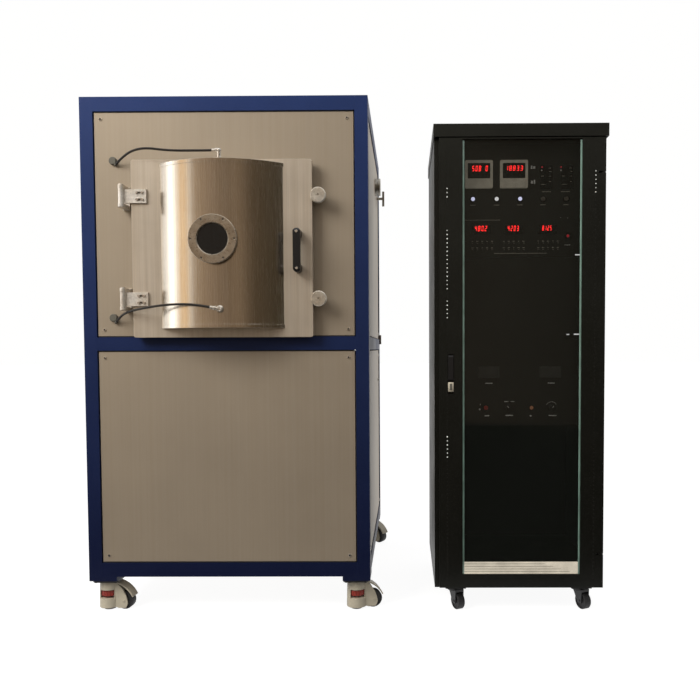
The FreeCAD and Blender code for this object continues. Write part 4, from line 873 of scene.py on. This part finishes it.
    def lamp(self, name: str, place: Point, aim: Point, power: float) -> None:
        """Hangs one soft lamp.

        Args:
            name: The lamp's name.
            place: Where it hangs.
            aim: The point that it faces.
            power: Its power in watts.
        """
        data = bpy.data.lights.new(name, "AREA")
        data.energy = power
        data.size = self.key_size
        data.color = self.lamp_colour
        lamp = Bench.link(name, data)
        lamp.location = place
        lamp.rotation_euler = (Vector(aim) - Vector(place)).to_track_quat("-Z", "Y").to_euler()
        lamp.visible_glossy = False

    def plain_glow(self, name: str, colour: Colour, strength: float) -> Material:
        """Returns an even glow for a screen."""
        material, graph, surface = self.bare(name)
        glow = graph.add("ShaderNodeEmission", {"Color": colour, "Strength": strength})
        graph.feed(surface, glow.outputs[0])
        return material

    def room_material(self) -> Material:
        """Returns the glow of a dim room that darkens to the right."""
        material, graph, surface = self.bare("room_glow")
        place = graph.add("ShaderNodeTexCoord").outputs["Object"]
        split = graph.add("ShaderNodeSeparateXYZ", {0: place})
        ramp = graph.add("ShaderNodeValToRGB", {0: graph.spread(split.outputs["X"], 0.0, 1.0, *self.room_span)})
        elements = ramp.color_ramp.elements
        while len(elements) < len(self.room_stops):
            elements.new(0.5)
        for element, (position, colour) in zip(elements, self.room_stops):
            element.position = position
            element.color = (*colour, 1.0)
        glow = graph.add("ShaderNodeEmission", {"Color": ramp.outputs[0]})
        graph.feed(surface, glow.outputs[0])
        return material

    def screen(self, name: str, start: float, end: float, closer: float, material: Material) -> None:
        """Stands a curved screen that only reflections show.

        Args:
            name: The screen's name.
            start: The angle of its left edge from straight ahead, in degrees.
            end: The angle of its right edge.
            closer: How much nearer it stands than the others, in metres.
            material: Its glow.
        """
        steps = self.screen_steps
        radius = self.screen_radius - closer
        corners = []
        for step in range(steps + 1):
            angle = math.radians(start + (end - start) * step / steps)
            x = self.screen_centre[0] + radius * math.sin(angle)
            y = self.screen_centre[1] - radius * math.cos(angle)
            corners += [(x, y, 0.0), (x, y, self.screen_height)]
        faces = [(2 * i, 2 * i + 1, 2 * i + 3, 2 * i + 2) for i in range(steps)]
        self.hidden(name, corners, faces, material)

    def floor_screen(self) -> None:
        """Lays a dark sheet before the cabinets that only reflections show."""
        left, right, near, far = self.floor_screen_span
        corners = [(left, near, MM), (right, near, MM), (right, far, MM), (left, far, MM)]
        glow = self.plain_glow("floor_sheet_glow", self.floor_screen_colour, 1.0)
        self.hidden("floor_screen", corners, [(0, 1, 2, 3)], glow)

    @staticmethod
    def hidden(name: str, corners: Sequence[Point], faces: Sequence[tuple[int, ...]],
               material: Material) -> None:
        """Adds a sheet that only reflections show.

        Args:
            name: The sheet's name.
            corners: Its corners.
            faces: Its faces.
            material: Its glow.
        """
        mesh = bpy.data.meshes.new(name)
        mesh.from_pydata(corners, [], faces)
        mesh.materials.append(material)
        screen = Bench.link(name, mesh)
        for ray in ("camera", "diffuse", "transmission", "shadow"):
            setattr(screen, f"visible_{ray}", False)

    def camera(self) -> None:
        """Sets the camera at the photograph's place and angle."""
        data = bpy.data.cameras.new("photograph_camera")
        data.sensor_width = self.sensor
        data.lens = self.focal_pixels / self.frame_pixels * self.sensor
        data.shift_x = -self.shift_right_pixels / self.frame_pixels
        data.shift_y = self.shift_down_pixels / self.frame_pixels
        data.clip_end = 200.0
        camera = Bench.link("photograph_camera", data)
        camera.location = self.camera_place
        camera.rotation_euler = (math.pi / 2 - self.camera_pitch, self.camera_roll, self.camera_yaw)
        bpy.context.scene.camera = camera


# Deposition cabinet
@dataclass
class Assembly:
    """A part of the system that dresses carried nodes and hands over pieces of its own."""

    palette: Palette
    DRESSED: ClassVar[dict[str, tuple[str, ...]]] = {}

    def dress(self) -> None:
        """Gives the carried nodes their finishes."""
        for finish, nodes in self.DRESSED.items():
            self.palette.dress(finish, *nodes)

    def fix(self, name: str, pieces: Sequence[Piece], body: str, slot: str, finish: str) -> None:
        """Joins pieces into one and hands it over.

        Args:
            name: The joined piece's name.
            pieces: The pieces.
            body: The body that it rides on.
            slot: The record's material slot.
            finish: The finish's name.
        """
        Bench.hand_over(Bench.merge(name, pieces), body, slot, self.palette.made[finish])


@dataclass
class Cabinet(Assembly):
    """The blue frame with its panels, side fittings and casters."""

    socket_radius: float = 3.1 * MM
    socket_proud: float = 0.15 * MM
    panel_half: float = 428.0 * MM
    screw_front: float = 1.0 * MM
    screw_heights: tuple[float, ...] = (0.205, 0.907, 1.006, 1.735)
    panel_gaps: tuple[Place, ...] = ((0.179, 0.183), (0.929, 0.933), (0.98, 0.984), (1.757, 1.761))
    # Where the dark strips that paint the shade in the panel gaps sit.
    shade_strip_half: float = 0.449
    shade_strip_front: float = 3.0 * MM
    shade_strip_back: float = 9.0 * MM

    DRESSED = {
        "navy_frame_paint": ("cabinet_frame",),
        "beige_panel_steel": ("front_panels",),
        "beige_side_steel": ("cabinet_skins",),
        "bright_steel": ("panel_screws",),
        "zinc_plate": ("side_fittings",),
        "caster_plate_black": ("caster_plates",),
        "cream_enamel": tuple(f"{corner}_housing" for corner in CORNERS),
        "soft_black_rubber": tuple(f"{corner}_wheel" for corner in CORNERS),
        "levelling_foot": tuple(f"{corner}_leveller" for corner in CORNERS),
    }

    def build(self) -> None:
        """Dresses the carried nodes and adds the small pieces."""
        self.dress()
        self.screw_sockets()
        self.gap_shade_strips()

    def gap_shade_strips(self) -> None:
        """Adds dark strips behind the gaps between the front panels' ends and the rails, as painted shade in
        the gaps.
        """
        left, right = CABINET_X - self.shade_strip_half, CABINET_X + self.shade_strip_half
        front, back = FRONT_Y + self.shade_strip_front, FRONT_Y + self.shade_strip_back
        strips = [Bench.block("strip", (left, front, low), (right, back, high))
                  for low, high in self.panel_gaps]
        self.fix("panel_gap_shade_strips", strips, "cabinets", "black_rubber", "soft_black_rubber")

    def screw_sockets(self) -> None:
        """Adds a dark six-sided socket to each front panel screw."""
        lowest = self.screw_heights[0]
        place = (CABINET_X - self.panel_half, FRONT_Y + self.screw_front - self.socket_proud, lowest)
        first = Bench.disc("panel_screw_sockets", place, self.socket_radius, 2 * self.socket_proud, sides=6)
        Bench.sink(first, 0.5 * MM, 0.2 * MM)
        moves = [(side, 0, z - lowest) for side in (0.0, 2 * self.panel_half) for z in self.screw_heights]
        copies = [first] + [Bench.copy(first, "socket", move) for move in moves[1:]]
        self.fix("panel_screw_sockets", copies, "cabinets", "black_plastic", "screw_shadow")


# Chamber and its door
@dataclass
class Chamber(Assembly):
    """The chamber behind the door, the door itself and what is fixed to it."""

    ring_centre: Place = (CABINET_X - 0.007, 1.301)
    screw_circle: float = 73.0 * MM
    screw_count: int = 6

    DRESSED = {
        "chamber_steel": ("chamber_body", "substrate_stage"),
        "soft_black_rubber": ("door_seal",),
        "bare_copper": ("filament_assembly",),
        "door_plate_steel": ("door_plate",),
        "drum_steel": ("door_drum",),
        "ring_steel": ("viewport_ring",),
        "viewport_pane": ("viewport_glass",),
        "black_moulding": ("door_handle",),
        "gland_grey": ("hose_glands",),
        "hinge_steel": ("hinge_arms", "hinge_brackets"),
        "bright_steel": ("door_screws", "hose_fittings"),
        "turned_aluminium": ("lock_knob_lower", "lock_knob_upper"),
    }

    def build(self) -> None:
        """Dresses the chamber and its door and adds the dark holes in the heads of the viewport's screws."""
        self.dress()
        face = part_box("door_screws")[0].y
        x, z = self.ring_centre
        place = (x + self.screw_circle, face - 0.1 * MM, z)
        first = Bench.disc("viewport_screw_sockets", place, 2.4 * MM, 0.3 * MM, sides=6)
        Bench.sink(first, 0.4 * MM, 0.2 * MM)
        step = -2 * math.pi / self.screw_count
        copies = [Bench.copy(first, "socket", (0, 0, 0), step * index, (x, face, z))
                  for index in range(1, self.screw_count)]
        self.fix("viewport_screw_sockets", [first, *copies], "chamber_door", "black_plastic", "screw_shadow")


@dataclass
class Hose:
    """One rubber hose that hangs from its gland on the panel to its fitting on the door."""

    name: str
    node: str
    route: tuple[Point, ...]
    length: float
    blend_from: Point
    blend_to: Point
    radius: float = 4.0 * MM
    sides: int = 16
    resolution: int = 12

    def line(self) -> list[Vector]:
        """Returns points along the hose's smooth line, read from its spline."""
        data = bpy.data.curves.new(self.name + "_line", "CURVE")
        data.dimensions = "3D"
        spline = data.splines.new("NURBS")
        spline.points.add(len(self.route) - 1)
        for point, place in zip(spline.points, self.route):
            point.co = (*place, 1.0)
        spline.order_u = 3
        spline.use_endpoint_u = True
        spline.resolution_u = self.resolution
        guide = Bench.link(self.name + "_line", data)
        bpy.context.view_layer.update()
        mesh = bpy.data.meshes.new_from_object(guide)
        points = [vertex.co.copy() for vertex in mesh.vertices]
        bpy.data.objects.remove(guide)
        return points

    def tube(self, points: Sequence[Vector]) -> Piece:
        """Builds the hose's wall round its line, closed at both ends.

        Args:
            points: The points that it follows.

        Returns:
            The hose.
        """
        mesh = bmesh.new()
        rings = []
        side = Vector((0, 0, 1))
        for index, point in enumerate(points):
            ahead = points[min(index + 1, len(points) - 1)]
            behind = points[max(index - 1, 0)]
            along = (ahead - behind).normalized()
            side = (side - along * side.dot(along)).normalized()
            other = along.cross(side)
            ring = []
            for step in range(self.sides):
                angle = 2 * math.pi * step / self.sides
                offset = side * math.cos(angle) + other * math.sin(angle)
                ring.append(mesh.verts.new(point + offset * self.radius))
            rings.append(ring)
        for first, second in zip(rings, rings[1:]):
            for step in range(self.sides):
                after = (step + 1) % self.sides
                mesh.faces.new((first[step], first[after], second[after], second[step]))
        mesh.faces.new(rings[0][::-1])
        mesh.faces.new(rings[-1])
        bmesh.ops.recalc_face_normals(mesh, faces=mesh.faces)
        data = bpy.data.meshes.new(self.name)
        mesh.to_mesh(data)
        mesh.free()
        return Bench.link(self.name, data)

    def build(self, material: Material) -> None:
        points = self.line()
        hose = self.tube(points)
        Bench.hand_over(hose, None, "black_rubber", material)
        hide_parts(self.node)
        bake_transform(hose)


UPPER_ROUTE = (
    (-0.788, -0.436, 1.5795), (-0.7765, -0.445, 1.5865), (-0.7555, -0.461, 1.596), (-0.7275, -0.479, 1.607),
    (-0.6995, -0.491, 1.613), (-0.6705, -0.498, 1.6155), (-0.6425, -0.502, 1.6135), (-0.6105, -0.505, 1.6085),
    (-0.5665, -0.507, 1.6048), (-0.5125, -0.508, 1.6038), (-0.4365, -0.508, 1.6044),
)
LOWER_ROUTE = (
    (-0.798, -0.436, 1.035), (-0.7825, -0.448, 1.0485), (-0.7575, -0.467, 1.061), (-0.7305, -0.485, 1.0685),
    (-0.7015, -0.499, 1.073), (-0.6685, -0.514, 1.0775), (-0.6335, -0.527, 1.082), (-0.5845, -0.542, 1.086),
    (-0.5325, -0.5525, 1.0875), (-0.4825, -0.559, 1.0845), (-0.4355, -0.5615, 1.076),
)


# Control rack
@dataclass
class Digits:
    """A row of seven-segment figures."""

    text: str
    left: float
    right: float
    low: float
    high: float
    y: float
    bar: float = 0.17
    slant: float = 0.1

    LIT = {
        "0": "abcdef", "1": "bc", "2": "abged", "3": "abgcd", "4": "fgbc", "5": "afgcd", "6": "afgedc",
        "7": "abc", "8": "abcdefg", "9": "abcdfg", "-": "g", " ": "",
    }

    def segment(self, length: float, width: float) -> Piece:
        """Models one upright bar with pointed ends.

        Args:
            length: The bar's length.
            width: Its width.

        Returns:
            The bar, whose middle is at the origin.
        """
        half = length / 2
        w = width / 2
        bar = Bench.block("bar", (-w, -0.15 * MM, -half + w), (w, 0.15 * MM, half - w))
        for end in (-1, 1):
            Bench.pick(bar, lambda middle, normal, e=end: normal.z * e > 0.9)
            bpy.ops.mesh.extrude_region_move(TRANSFORM_OT_translate={"value": (0, 0, end * w * 0.9)})
            bpy.ops.transform.resize(value=(0.15, 1.0, 1.0))
            bpy.ops.object.mode_set(mode="OBJECT")
        return bar

    def build(self, name: str) -> Piece:
        """Builds the whole row.

        Args:
            name: The row's name.

        Returns:
            The row as one mesh.
        """
        count = len(self.text)
        pitch = (self.right - self.left) / count
        width = pitch * 0.72
        height = self.high - self.low
        bar = height * self.bar
        long = self.segment(height / 2 - bar * 0.15, bar)
        flat = self.segment(width - bar * 0.5, bar)
        flat.data.transform(Matrix.Rotation(math.pi / 2, 4, "Y"))
        spots = {
            "a": (flat, 0, 0.5), "d": (flat, 0, -0.5), "g": (flat, 0, 0), "b": (long, 0.5, 0.25),
            "c": (long, 0.5, -0.25), "e": (long, -0.5, -0.25), "f": (long, -0.5, 0.25),
        }
        bars = []
        for index, figure in enumerate(self.text):
            middle = self.left + pitch * (index + 0.5)
            for letter in self.LIT[figure]:
                shape, across, up = spots[letter]
                rise = up * (height - bar)
                x = middle + across * (width - bar) + rise * self.slant
                bars.append(Bench.copy(shape, "bar", (x, self.y, (self.low + self.high) / 2 + rise)))
        for shape in (long, flat):
            bpy.data.objects.remove(shape)
        return Bench.merge(name, bars)


@dataclass
class Instruments(Assembly):
    """The three instrument plates behind the glass with their gauges, lamps, keys and marks.

    Places and sizes on the plates are in millimetres: x beside the rack's centre line, z above the floor.
    """

    face: float = INSTRUMENT_Y
    gauge_face: float = INSTRUMENT_Y - 8.0 * MM
    display_face: float = INSTRUMENT_Y - 2.5 * MM
    meter_face: float = INSTRUMENT_Y - 3.0 * MM
    button_x: tuple[float, ...] = (-161.0, -77.0, 6.0, 88.0, 170.0)
    button_z: float = 1465.0
    button_mark_z: float = 1445.0
    button_finishes: tuple[str, ...] = (
        "blue_white_light", "white_light", "blue_white_light", "zinc_plate", "zinc_plate")
    meter_lamp_radius: float = 2.6 * MM
    panel_lamp_radius: float = 4.6 * MM
    display_x: tuple[float, ...] = (-130.0, -18.0, 104.0)
    key_rows: Place = (1317.0, 1294.0)
    key_columns: tuple[float, ...] = (-32.5, -15.0, 2.5, 20.0, 37.5)
    flow_meter_x: Place = (98.0, 172.0)
    flow_meter_z: float = 1542.0
    meter_x: Place = (-104.0, 117.0)
    meter_z: float = 851.0
    control_z: float = 723.0
    orange_lamp_x: float = 49.0
    power_x: float = 122.0
    scale_radius: float = 20.5
    scale_start: float = -52.0
    scale_step: float = 13.0
    scale_ticks: int = 9
    ring_place: Place = (-136.0, 717.0)

    DRESSED = {
        "instrument_black": ("instrument_panels",),
        # The gauge units glow faintly as painted light.
        "beige_bezel_painted_glow": ("gauge_units",),
        "dark_screen": ("panel_displays",),
        "black_moulding": ("power_knob", "selector_knob"),
        "red_moulding": ("red_button",),
        "dark_button_steel": tuple(f"push_button_{number}" for number in range(1, 6)),
    }
    FIGURES = (
        ("gauge_figures_left", "508 0", -166.0, -107.0, 1561.5, 1582.0, "gauge_face"),
        ("gauge_figures_right", "18833", -48.0, 17.0, 1563.0, 1581.5, "gauge_face"),
        ("display_figures_1", "4802", -156.0, -109.0, 1352.0, 1372.0, "display_face"),
        ("display_figures_2", "4203", -39.5, 4.0, 1352.0, 1372.0, "display_face"),
        ("display_figures_3", "8125", 84.0, 120.5, 1353.5, 1372.0, "display_face"),
    )
    LAMPS = (
        ("red_indicator_lamps", "red_light", ((83.4, 1576.5), (151.0, 1576.5)), ((177.0, 1335.0),)),
        ("white_indicator_lamps", "printed_mark", ((82.6, 1565.0), (151.0, 1565.0)), ()),
    )
    POINTERS = (("selector_knob", -33.0, -0.7), ("power_knob", 122.0, 0.6))
    FLOW_METER_BARS = ((13, 31, 8), (15, 19, 8), (-13, 3, 10), (14, 3, 8), (14, -16, 7), (-9, -26, 18))
    FAINT_BARS = (
        (100.0, 1491.0, 32.0, 2.2), (167.0, 1491.0, 32.0, 2.2), (-126.0, 1392.0, 123.0, 2.4),
        (8.5, 1274.0, 188.0, 2.4),
    )
    BRIGHT_BARS = (
        (47.0, 1577.0, 5, 12), (56.0, 1576.0, 8, 8), (48.5, 1525.0, 7, 10), (57.5, 1526.0, 5, 14),
        (-103.0, 811.0, 26, 3.4), (120.0, 811.0, 24, 3.0), (-40.0, 745.0, 14, 3), (-18.0, 745.0, 13, 2),
        (-110.0, 694.0, 16, 4), (-30.0, 695.0, 27, 4), (47.0, 693.0, 6, 4), (126.0, 694.0, 28, 3.4),
        (-134.0, 734.0, 1.6, 6), (175.0, 1303.0, 20, 2), (151.5, 1399.0, 2.4, 2), (176.0, 1398.0, 2.4, 2),
    )
    SEAM_BARS = ((212.0, 1268.0, 18, 4.2), (210.5, 985.5, 21, 4.2), (179.0, 985.0, 10, 3.0))

    def build(self) -> None:
        """Dresses the carried nodes and adds everything that is lit or printed."""
        self.dress()
        self.figures()
        self.button_lights()
        self.lamps()
        self.keys()
        self.orange_lamp()
        self.knob_pointers()
        self.knob_scale()
        self.meter_rims()
        self.gauge_flap()
        self.marks()

    @staticmethod
    def at(x: float, z: float, y: float) -> Vector:
        """Returns a place on the rack from millimetres beside its centre line and above the floor."""
        return Vector((RACK_X + x * MM, y, z * MM))

    def plate(self, name: str, x: float, z: float, width: float, height: float, y: float,
              thick: float, bevel: float) -> Piece:
        """Makes a thin plate on a face.

        Args:
            name: The plate's name.
            x: Its middle beside the rack's centre line, in millimetres.
            z: Its middle's height in millimetres.
            width: Its width in millimetres.
            height: Its height in millimetres.
            y: The face that it lies on, in metres.
            thick: Its thickness in millimetres.
            bevel: Its edges' radius in millimetres.

        Returns:
            The plate.
        """
        low = self.at(x - width / 2, z - height / 2, y - thick * MM)
        high = self.at(x + width / 2, z + height / 2, y)
        return Bench.block(name, low, high, bevel * MM, 1)

    def figures(self) -> None:
        """Adds the red figures of the gauges and the three displays."""
        for name, text, left, right, low, high, face in self.FIGURES:
            start = self.at(left, low, getattr(self, face) - 0.25 * MM)
            end = self.at(right, high, start.y)
            row = Digits(text, start.x, end.x, start.z, end.z, start.y).build(name)
            self.fix(name, [row], "cabinets", "red_plastic", "red_digits")

    def button_lights(self) -> None:
        """Adds the round lenses of the five push buttons, three of them lit."""
        for number, (x, finish) in enumerate(zip(self.button_x, self.button_finishes), 1):
            button, name = f"push_button_{number}", f"button_lens_{number}"
            place = self.at(x, self.button_z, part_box(button)[0].y - 0.4 * MM)
            lens = Bench.disc(name, place, 6.9 * MM, 0.9 * MM, bevel=0.3 * MM)
            Bench.sink(lens, 1.6 * MM, 0.25 * MM)
            self.fix(name, [lens], button, "machined_aluminium", finish)

    def lamps(self) -> None:
        """Adds the small round lamps of the flow read-outs and the plates, colour by colour."""
        for name, finish, on_meters, on_plates in self.LAMPS:
            discs = []
            for places, face, radius in (
                    (on_meters, self.meter_face, self.meter_lamp_radius),
                    (on_plates, self.face, self.panel_lamp_radius)):
                for x, z in places:
                    place = self.at(x, z, face - 0.5 * MM)
                    discs.append(Bench.disc("lamp", place, radius, 1.4 * MM, sides=20, bevel=0.4 * MM))
            self.fix(name, discs, "cabinets", "red_plastic", finish)

    def keys(self) -> None:
        """Adds the small keys and marks under each display."""
        shapes = []
        for middle in self.display_x:
            for row, z in enumerate(self.key_rows):
                for column, across in enumerate(self.key_columns):
                    x = middle + across
                    wide = 7.5 if (row + column) % 3 else 4.0
                    shapes.append(self.plate("key", x, z, wide, 3.2, self.face, 0.9, 0.3))
                    shapes.append(self.plate("key", x + 0.8, z - 6.5, wide * 0.8, 1.3, self.face, 0.25, 0.1))
        self.fix("display_keys", shapes, "cabinets", "grey_plastic", "dim_mark")

    def orange_lamp(self) -> None:
        """Adds the lens of the orange lamp, raised in its middle."""
        place = self.at(self.orange_lamp_x, self.control_z, self.face - 8.6 * MM)
        lens = Bench.disc("orange_lamp_lens", place, 6.6 * MM, 1.6 * MM, bevel=0.5 * MM)
        Bench.sink(lens, 1.5 * MM, -0.5 * MM)
        self.fix("orange_lamp_lens", [lens], "cabinets", "red_plastic", "amber_light")

    def knob_pointers(self) -> None:
        """Adds the white pointer of each rotary knob, turned as in the photograph."""
        for knob, x, turn in self.POINTERS:
            middle = self.at(x, self.control_z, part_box(knob)[0].y - 0.2 * MM)
            low = middle + Vector((-1.1 * MM, -0.3 * MM, 0.5 * MM))
            high = middle + Vector((1.1 * MM, 0.3 * MM, 8.8 * MM))
            upright = Bench.block("pointer", low, high, 0.2 * MM, 1)
            pointer = Bench.copy(upright, "turned_pointer", (0, 0, 0), turn, middle)
            bpy.data.objects.remove(upright)
            self.fix(f"{knob}_pointer", [pointer], knob, "machined_aluminium", "printed_mark")

    def knob_scale(self) -> None:
        """Adds the arc of ticks round the power knob."""
        centre = self.at(self.power_x, self.control_z, self.face)
        ticks = []
        for step in range(self.scale_ticks):
            turn = math.radians(self.scale_start + self.scale_step * step)
            wide = 3.6 if step % 4 else 4.4
            z = self.control_z + self.scale_radius
            tick = self.plate("tick", self.power_x, z, wide, 1.4, self.face, 0.25, 0.08)
            ticks.append(Bench.copy(tick, "tick_copy", (0, 0, 0), turn, centre))
            bpy.data.objects.remove(tick)
        self.fix("power_knob_scale", ticks, "cabinets", "machined_aluminium", "printed_mark")

    def meter_rims(self) -> None:
        """Adds the thin rims of the two meters."""
        rims = []
        for x in self.meter_x:
            rim = self.plate("rim", x, self.meter_z, 77.0, 41.0, self.meter_face + 0.1 * MM, 0.6, 0.2)
            Bench.sink(rim, 1.4 * MM, 0.45 * MM)
            rims.append(rim)
        self.fix("meter_rims", rims, "cabinets", "dark_screen", "meter_edge")

    def gauge_flap(self) -> None:
        """Adds the light lower flap of the right gauge, glowing faintly as painted light."""
        flap = self.plate("gauge_flap", -16.5, 1520.5, 82.0, 32.0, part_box("gauge_units")[0].y, 1.2, 0.6)
        Bench.sink(flap, 0.8 * MM, -0.3 * MM)
        self.fix("gauge_flap", [flap], "cabinets", "beige_plastic", "beige_bezel_painted_glow")

    def marks(self) -> None:
        """Adds the small printed marks as plain bars, and the light bars at the plates' seams."""
        bars = [(x, self.button_mark_z, 19.0, 2.6, self.face) for x in self.button_x]
        bars += [(*bar, self.face) for bar in self.FAINT_BARS]
        bars += [(x + across, self.flow_meter_z + up, wide, 2.2, self.meter_face)
                 for x in self.flow_meter_x for across, up, wide in self.FLOW_METER_BARS]
        faint = [self.plate("mark", *bar, 0.2, 0.05) for bar in bars]
        self.fix("faint_marks", faint, "cabinets", "beige_plastic", "dim_mark")
        bright = [self.plate("mark", *bar, self.face, 0.2, 0.05) for bar in self.BRIGHT_BARS]
        ring = Bench.disc("mark", self.at(*self.ring_place, self.face - 0.1 * MM), 3.2 * MM, 0.2 * MM, sides=20)
        Bench.sink(ring, 0.8 * MM, 0.12 * MM)
        self.fix("bright_marks", [*bright, ring], "cabinets", "beige_plastic", "printed_mark")
        seams = [self.plate("bar", *bar, self.face, 0.3, 0.1) for bar in self.SEAM_BARS]
        self.fix("seam_bars", seams, "cabinets", "beige_plastic", "white_light")


@dataclass
class Rack(Assembly):
    """The black rack with its glass door, vents, foot strip and casters."""

    vent_x: Place = (-256.0, 258.5)
    vent_pitch: float = 14.4 * MM
    vent_radius: float = 2.4 * MM
    vent_low: float = 0.1222
    vent_count: int = 105
    lit_vents: tuple[tuple[float, int, int], ...] = (
        (-256.0, 30, 6), (-256.0, 64, 5), (-256.0, 71, 15), (-256.0, 93, 3), (258.5, 94, 6))
    lit_radius: float = 1.7 * MM
    lock_x: float = -243.5 * MM
    lock_plate_z: float = 0.8015
    pane_edge_width: float = 6.5 * MM
    pane_left: float = -202.5 * MM
    pane_right: float = 212.5 * MM
    strip_half: float = 0.24
    strip_low: float = 0.1185
    strip_high: float = 0.1625
    slot_count: int = 4
    slot_first: float = 7.5 * MM
    slot_pitch: float = 9.5 * MM
    slot_height: float = 1.1 * MM
    slot_left: float = -0.2
    slot_right: float = 0.19
    slot_shorter: float = 0.03

    DRESSED = {
        "black_powder_coat": ("rack_frame", "rack_panels", "rack_door_frame"),
        "door_glass": ("rack_door_glass",),
        "black_moulding": ("rack_lock_lever",),
        "caster_plate_black": tuple(f"rack_{corner}_fork" for corner in CORNERS),
        "soft_black_rubber": tuple(f"rack_{corner}_wheel" for corner in CORNERS),
    }

    def build(self) -> None:
        """Dresses the carried nodes and adds the vents, the lock's plate and what the glass shows."""
        self.dress()
        self.vents()
        self.lock_plate()
        self.pane_edges()
        self.foot_strip()

    def vents(self) -> None:
        """Adds the columns of small vent eyelets on the door's stiles, and the light in some of them."""
        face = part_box("rack_door_frame")[0].y + 1.5 * MM
        step = (0, 0, self.vent_pitch)
        columns, lit = [], []
        for x in self.vent_x:
            place = (RACK_X + x * MM, face, self.vent_low)
            eyelet = Bench.disc("eyelet", place, self.vent_radius, 0.5 * MM, sides=12)
            Bench.sink(eyelet, 0.5 * MM, 0.22 * MM)
            columns.append(Bench.repeat(eyelet, self.vent_count, step))
        self.fix("door_vent_eyelets", columns, "rack_door", "black_steel", "screw_shadow")
        for x, first, count in self.lit_vents:
            place = (RACK_X + x * MM, face - 0.2 * MM, self.vent_low + first * self.vent_pitch)
            dot = Bench.disc("dot", place, self.lit_radius, 0.4 * MM, sides=12, bevel=0.1 * MM)
            lit.append(Bench.repeat(dot, count, step))
        self.fix("lit_vents", lit, "rack_door", "black_steel", "vent_light")

    def lock_plate(self) -> None:
        """Adds the cream face of the lock's plate with its darker keyhole field."""
        centre = Vector((RACK_X + self.lock_x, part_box("rack_door_frame")[0].y, self.lock_plate_z))
        for name, half_width, half_height, lift, slot, finish in (
                ("lock_plate_face", 9.6 * MM, 16.6 * MM, 0.5 * MM, "machined_aluminium", "cream_enamel"),
                ("lock_keyhole_field", 4.2 * MM, 11.5 * MM, 0.8 * MM, "black_plastic", "gland_grey")):
            low = centre - Vector((half_width, lift, half_height))
            high = centre + Vector((half_width, 0, half_height))
            self.fix(name, [Bench.block(name, low, high, 0.2 * MM, 2)], "rack_door", slot, finish)

    def pane_edges(self) -> None:
        """Adds the green polished edges at both sides of the pane."""
        low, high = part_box("rack_door_glass")
        bottom, top = low.z + 8 * MM, high.z - 6 * MM
        strips = []
        for edge, inwards in ((self.pane_left, self.pane_edge_width), (self.pane_right, -self.pane_edge_width)):
            left, right = sorted((RACK_X + edge, RACK_X + edge + inwards))
            corner = (left, low.y - 1.0 * MM, bottom)
            strips.append(Bench.block("strip", corner, (right, low.y, top), 0.3 * MM, 2))
        self.fix("pane_edges", strips, "rack_door", "window_glass", "pane_edge")

    def foot_strip(self) -> None:
        """Adds the sheet behind the glass at the foot, made to glow as painted light, with its slots."""
        y = INSTRUMENT_Y
        low = (RACK_X - self.strip_half, y - 1.4 * MM, self.strip_low)
        strip = Bench.block("foot_strip", low, (RACK_X + self.strip_half, y, self.strip_high), 0.4 * MM, 2)
        Bench.sink(strip, 2.0 * MM, 0.4 * MM)
        self.fix("foot_strip", [strip], "cabinets", "panel_steel", "foot_strip_painted_glow")
        slots = []
        for step in range(self.slot_count):
            z = self.strip_low + self.slot_first + self.slot_pitch * step
            low = (RACK_X + self.slot_left, y - 1.25 * MM, z)
            high = (RACK_X + self.slot_right - self.slot_shorter * step, y - 0.9 * MM, z + self.slot_height)
            slots.append(Bench.block("slot", low, high, 0.15 * MM, 1))
        self.fix("foot_strip_slots", slots, "cabinets", "black_plastic", "screw_shadow")


def main() -> None:
    """Builds the studio and dresses each sub-assembly in order."""
    Studio().build()
    palette = Palette()
    Cabinet(palette).build()
    Chamber(palette).build()
    hose_finish = palette.made["black_hose_rubber"]
    Hose("upper_hose_tube", "upper_hose", UPPER_ROUTE, 0.3751,
         (-0.7755, -0.446, 1.587), (-0.685, -0.495, 1.6145)).build(hose_finish)
    Hose("lower_hose_tube", "lower_hose", LOWER_ROUTE, 0.3999,
         (-0.7815, -0.449, 1.049), (-0.68, -0.509, 1.076)).build(hose_finish)
    Instruments(palette).build()
    Rack(palette).build()


if __name__ == "__main__":
    main()
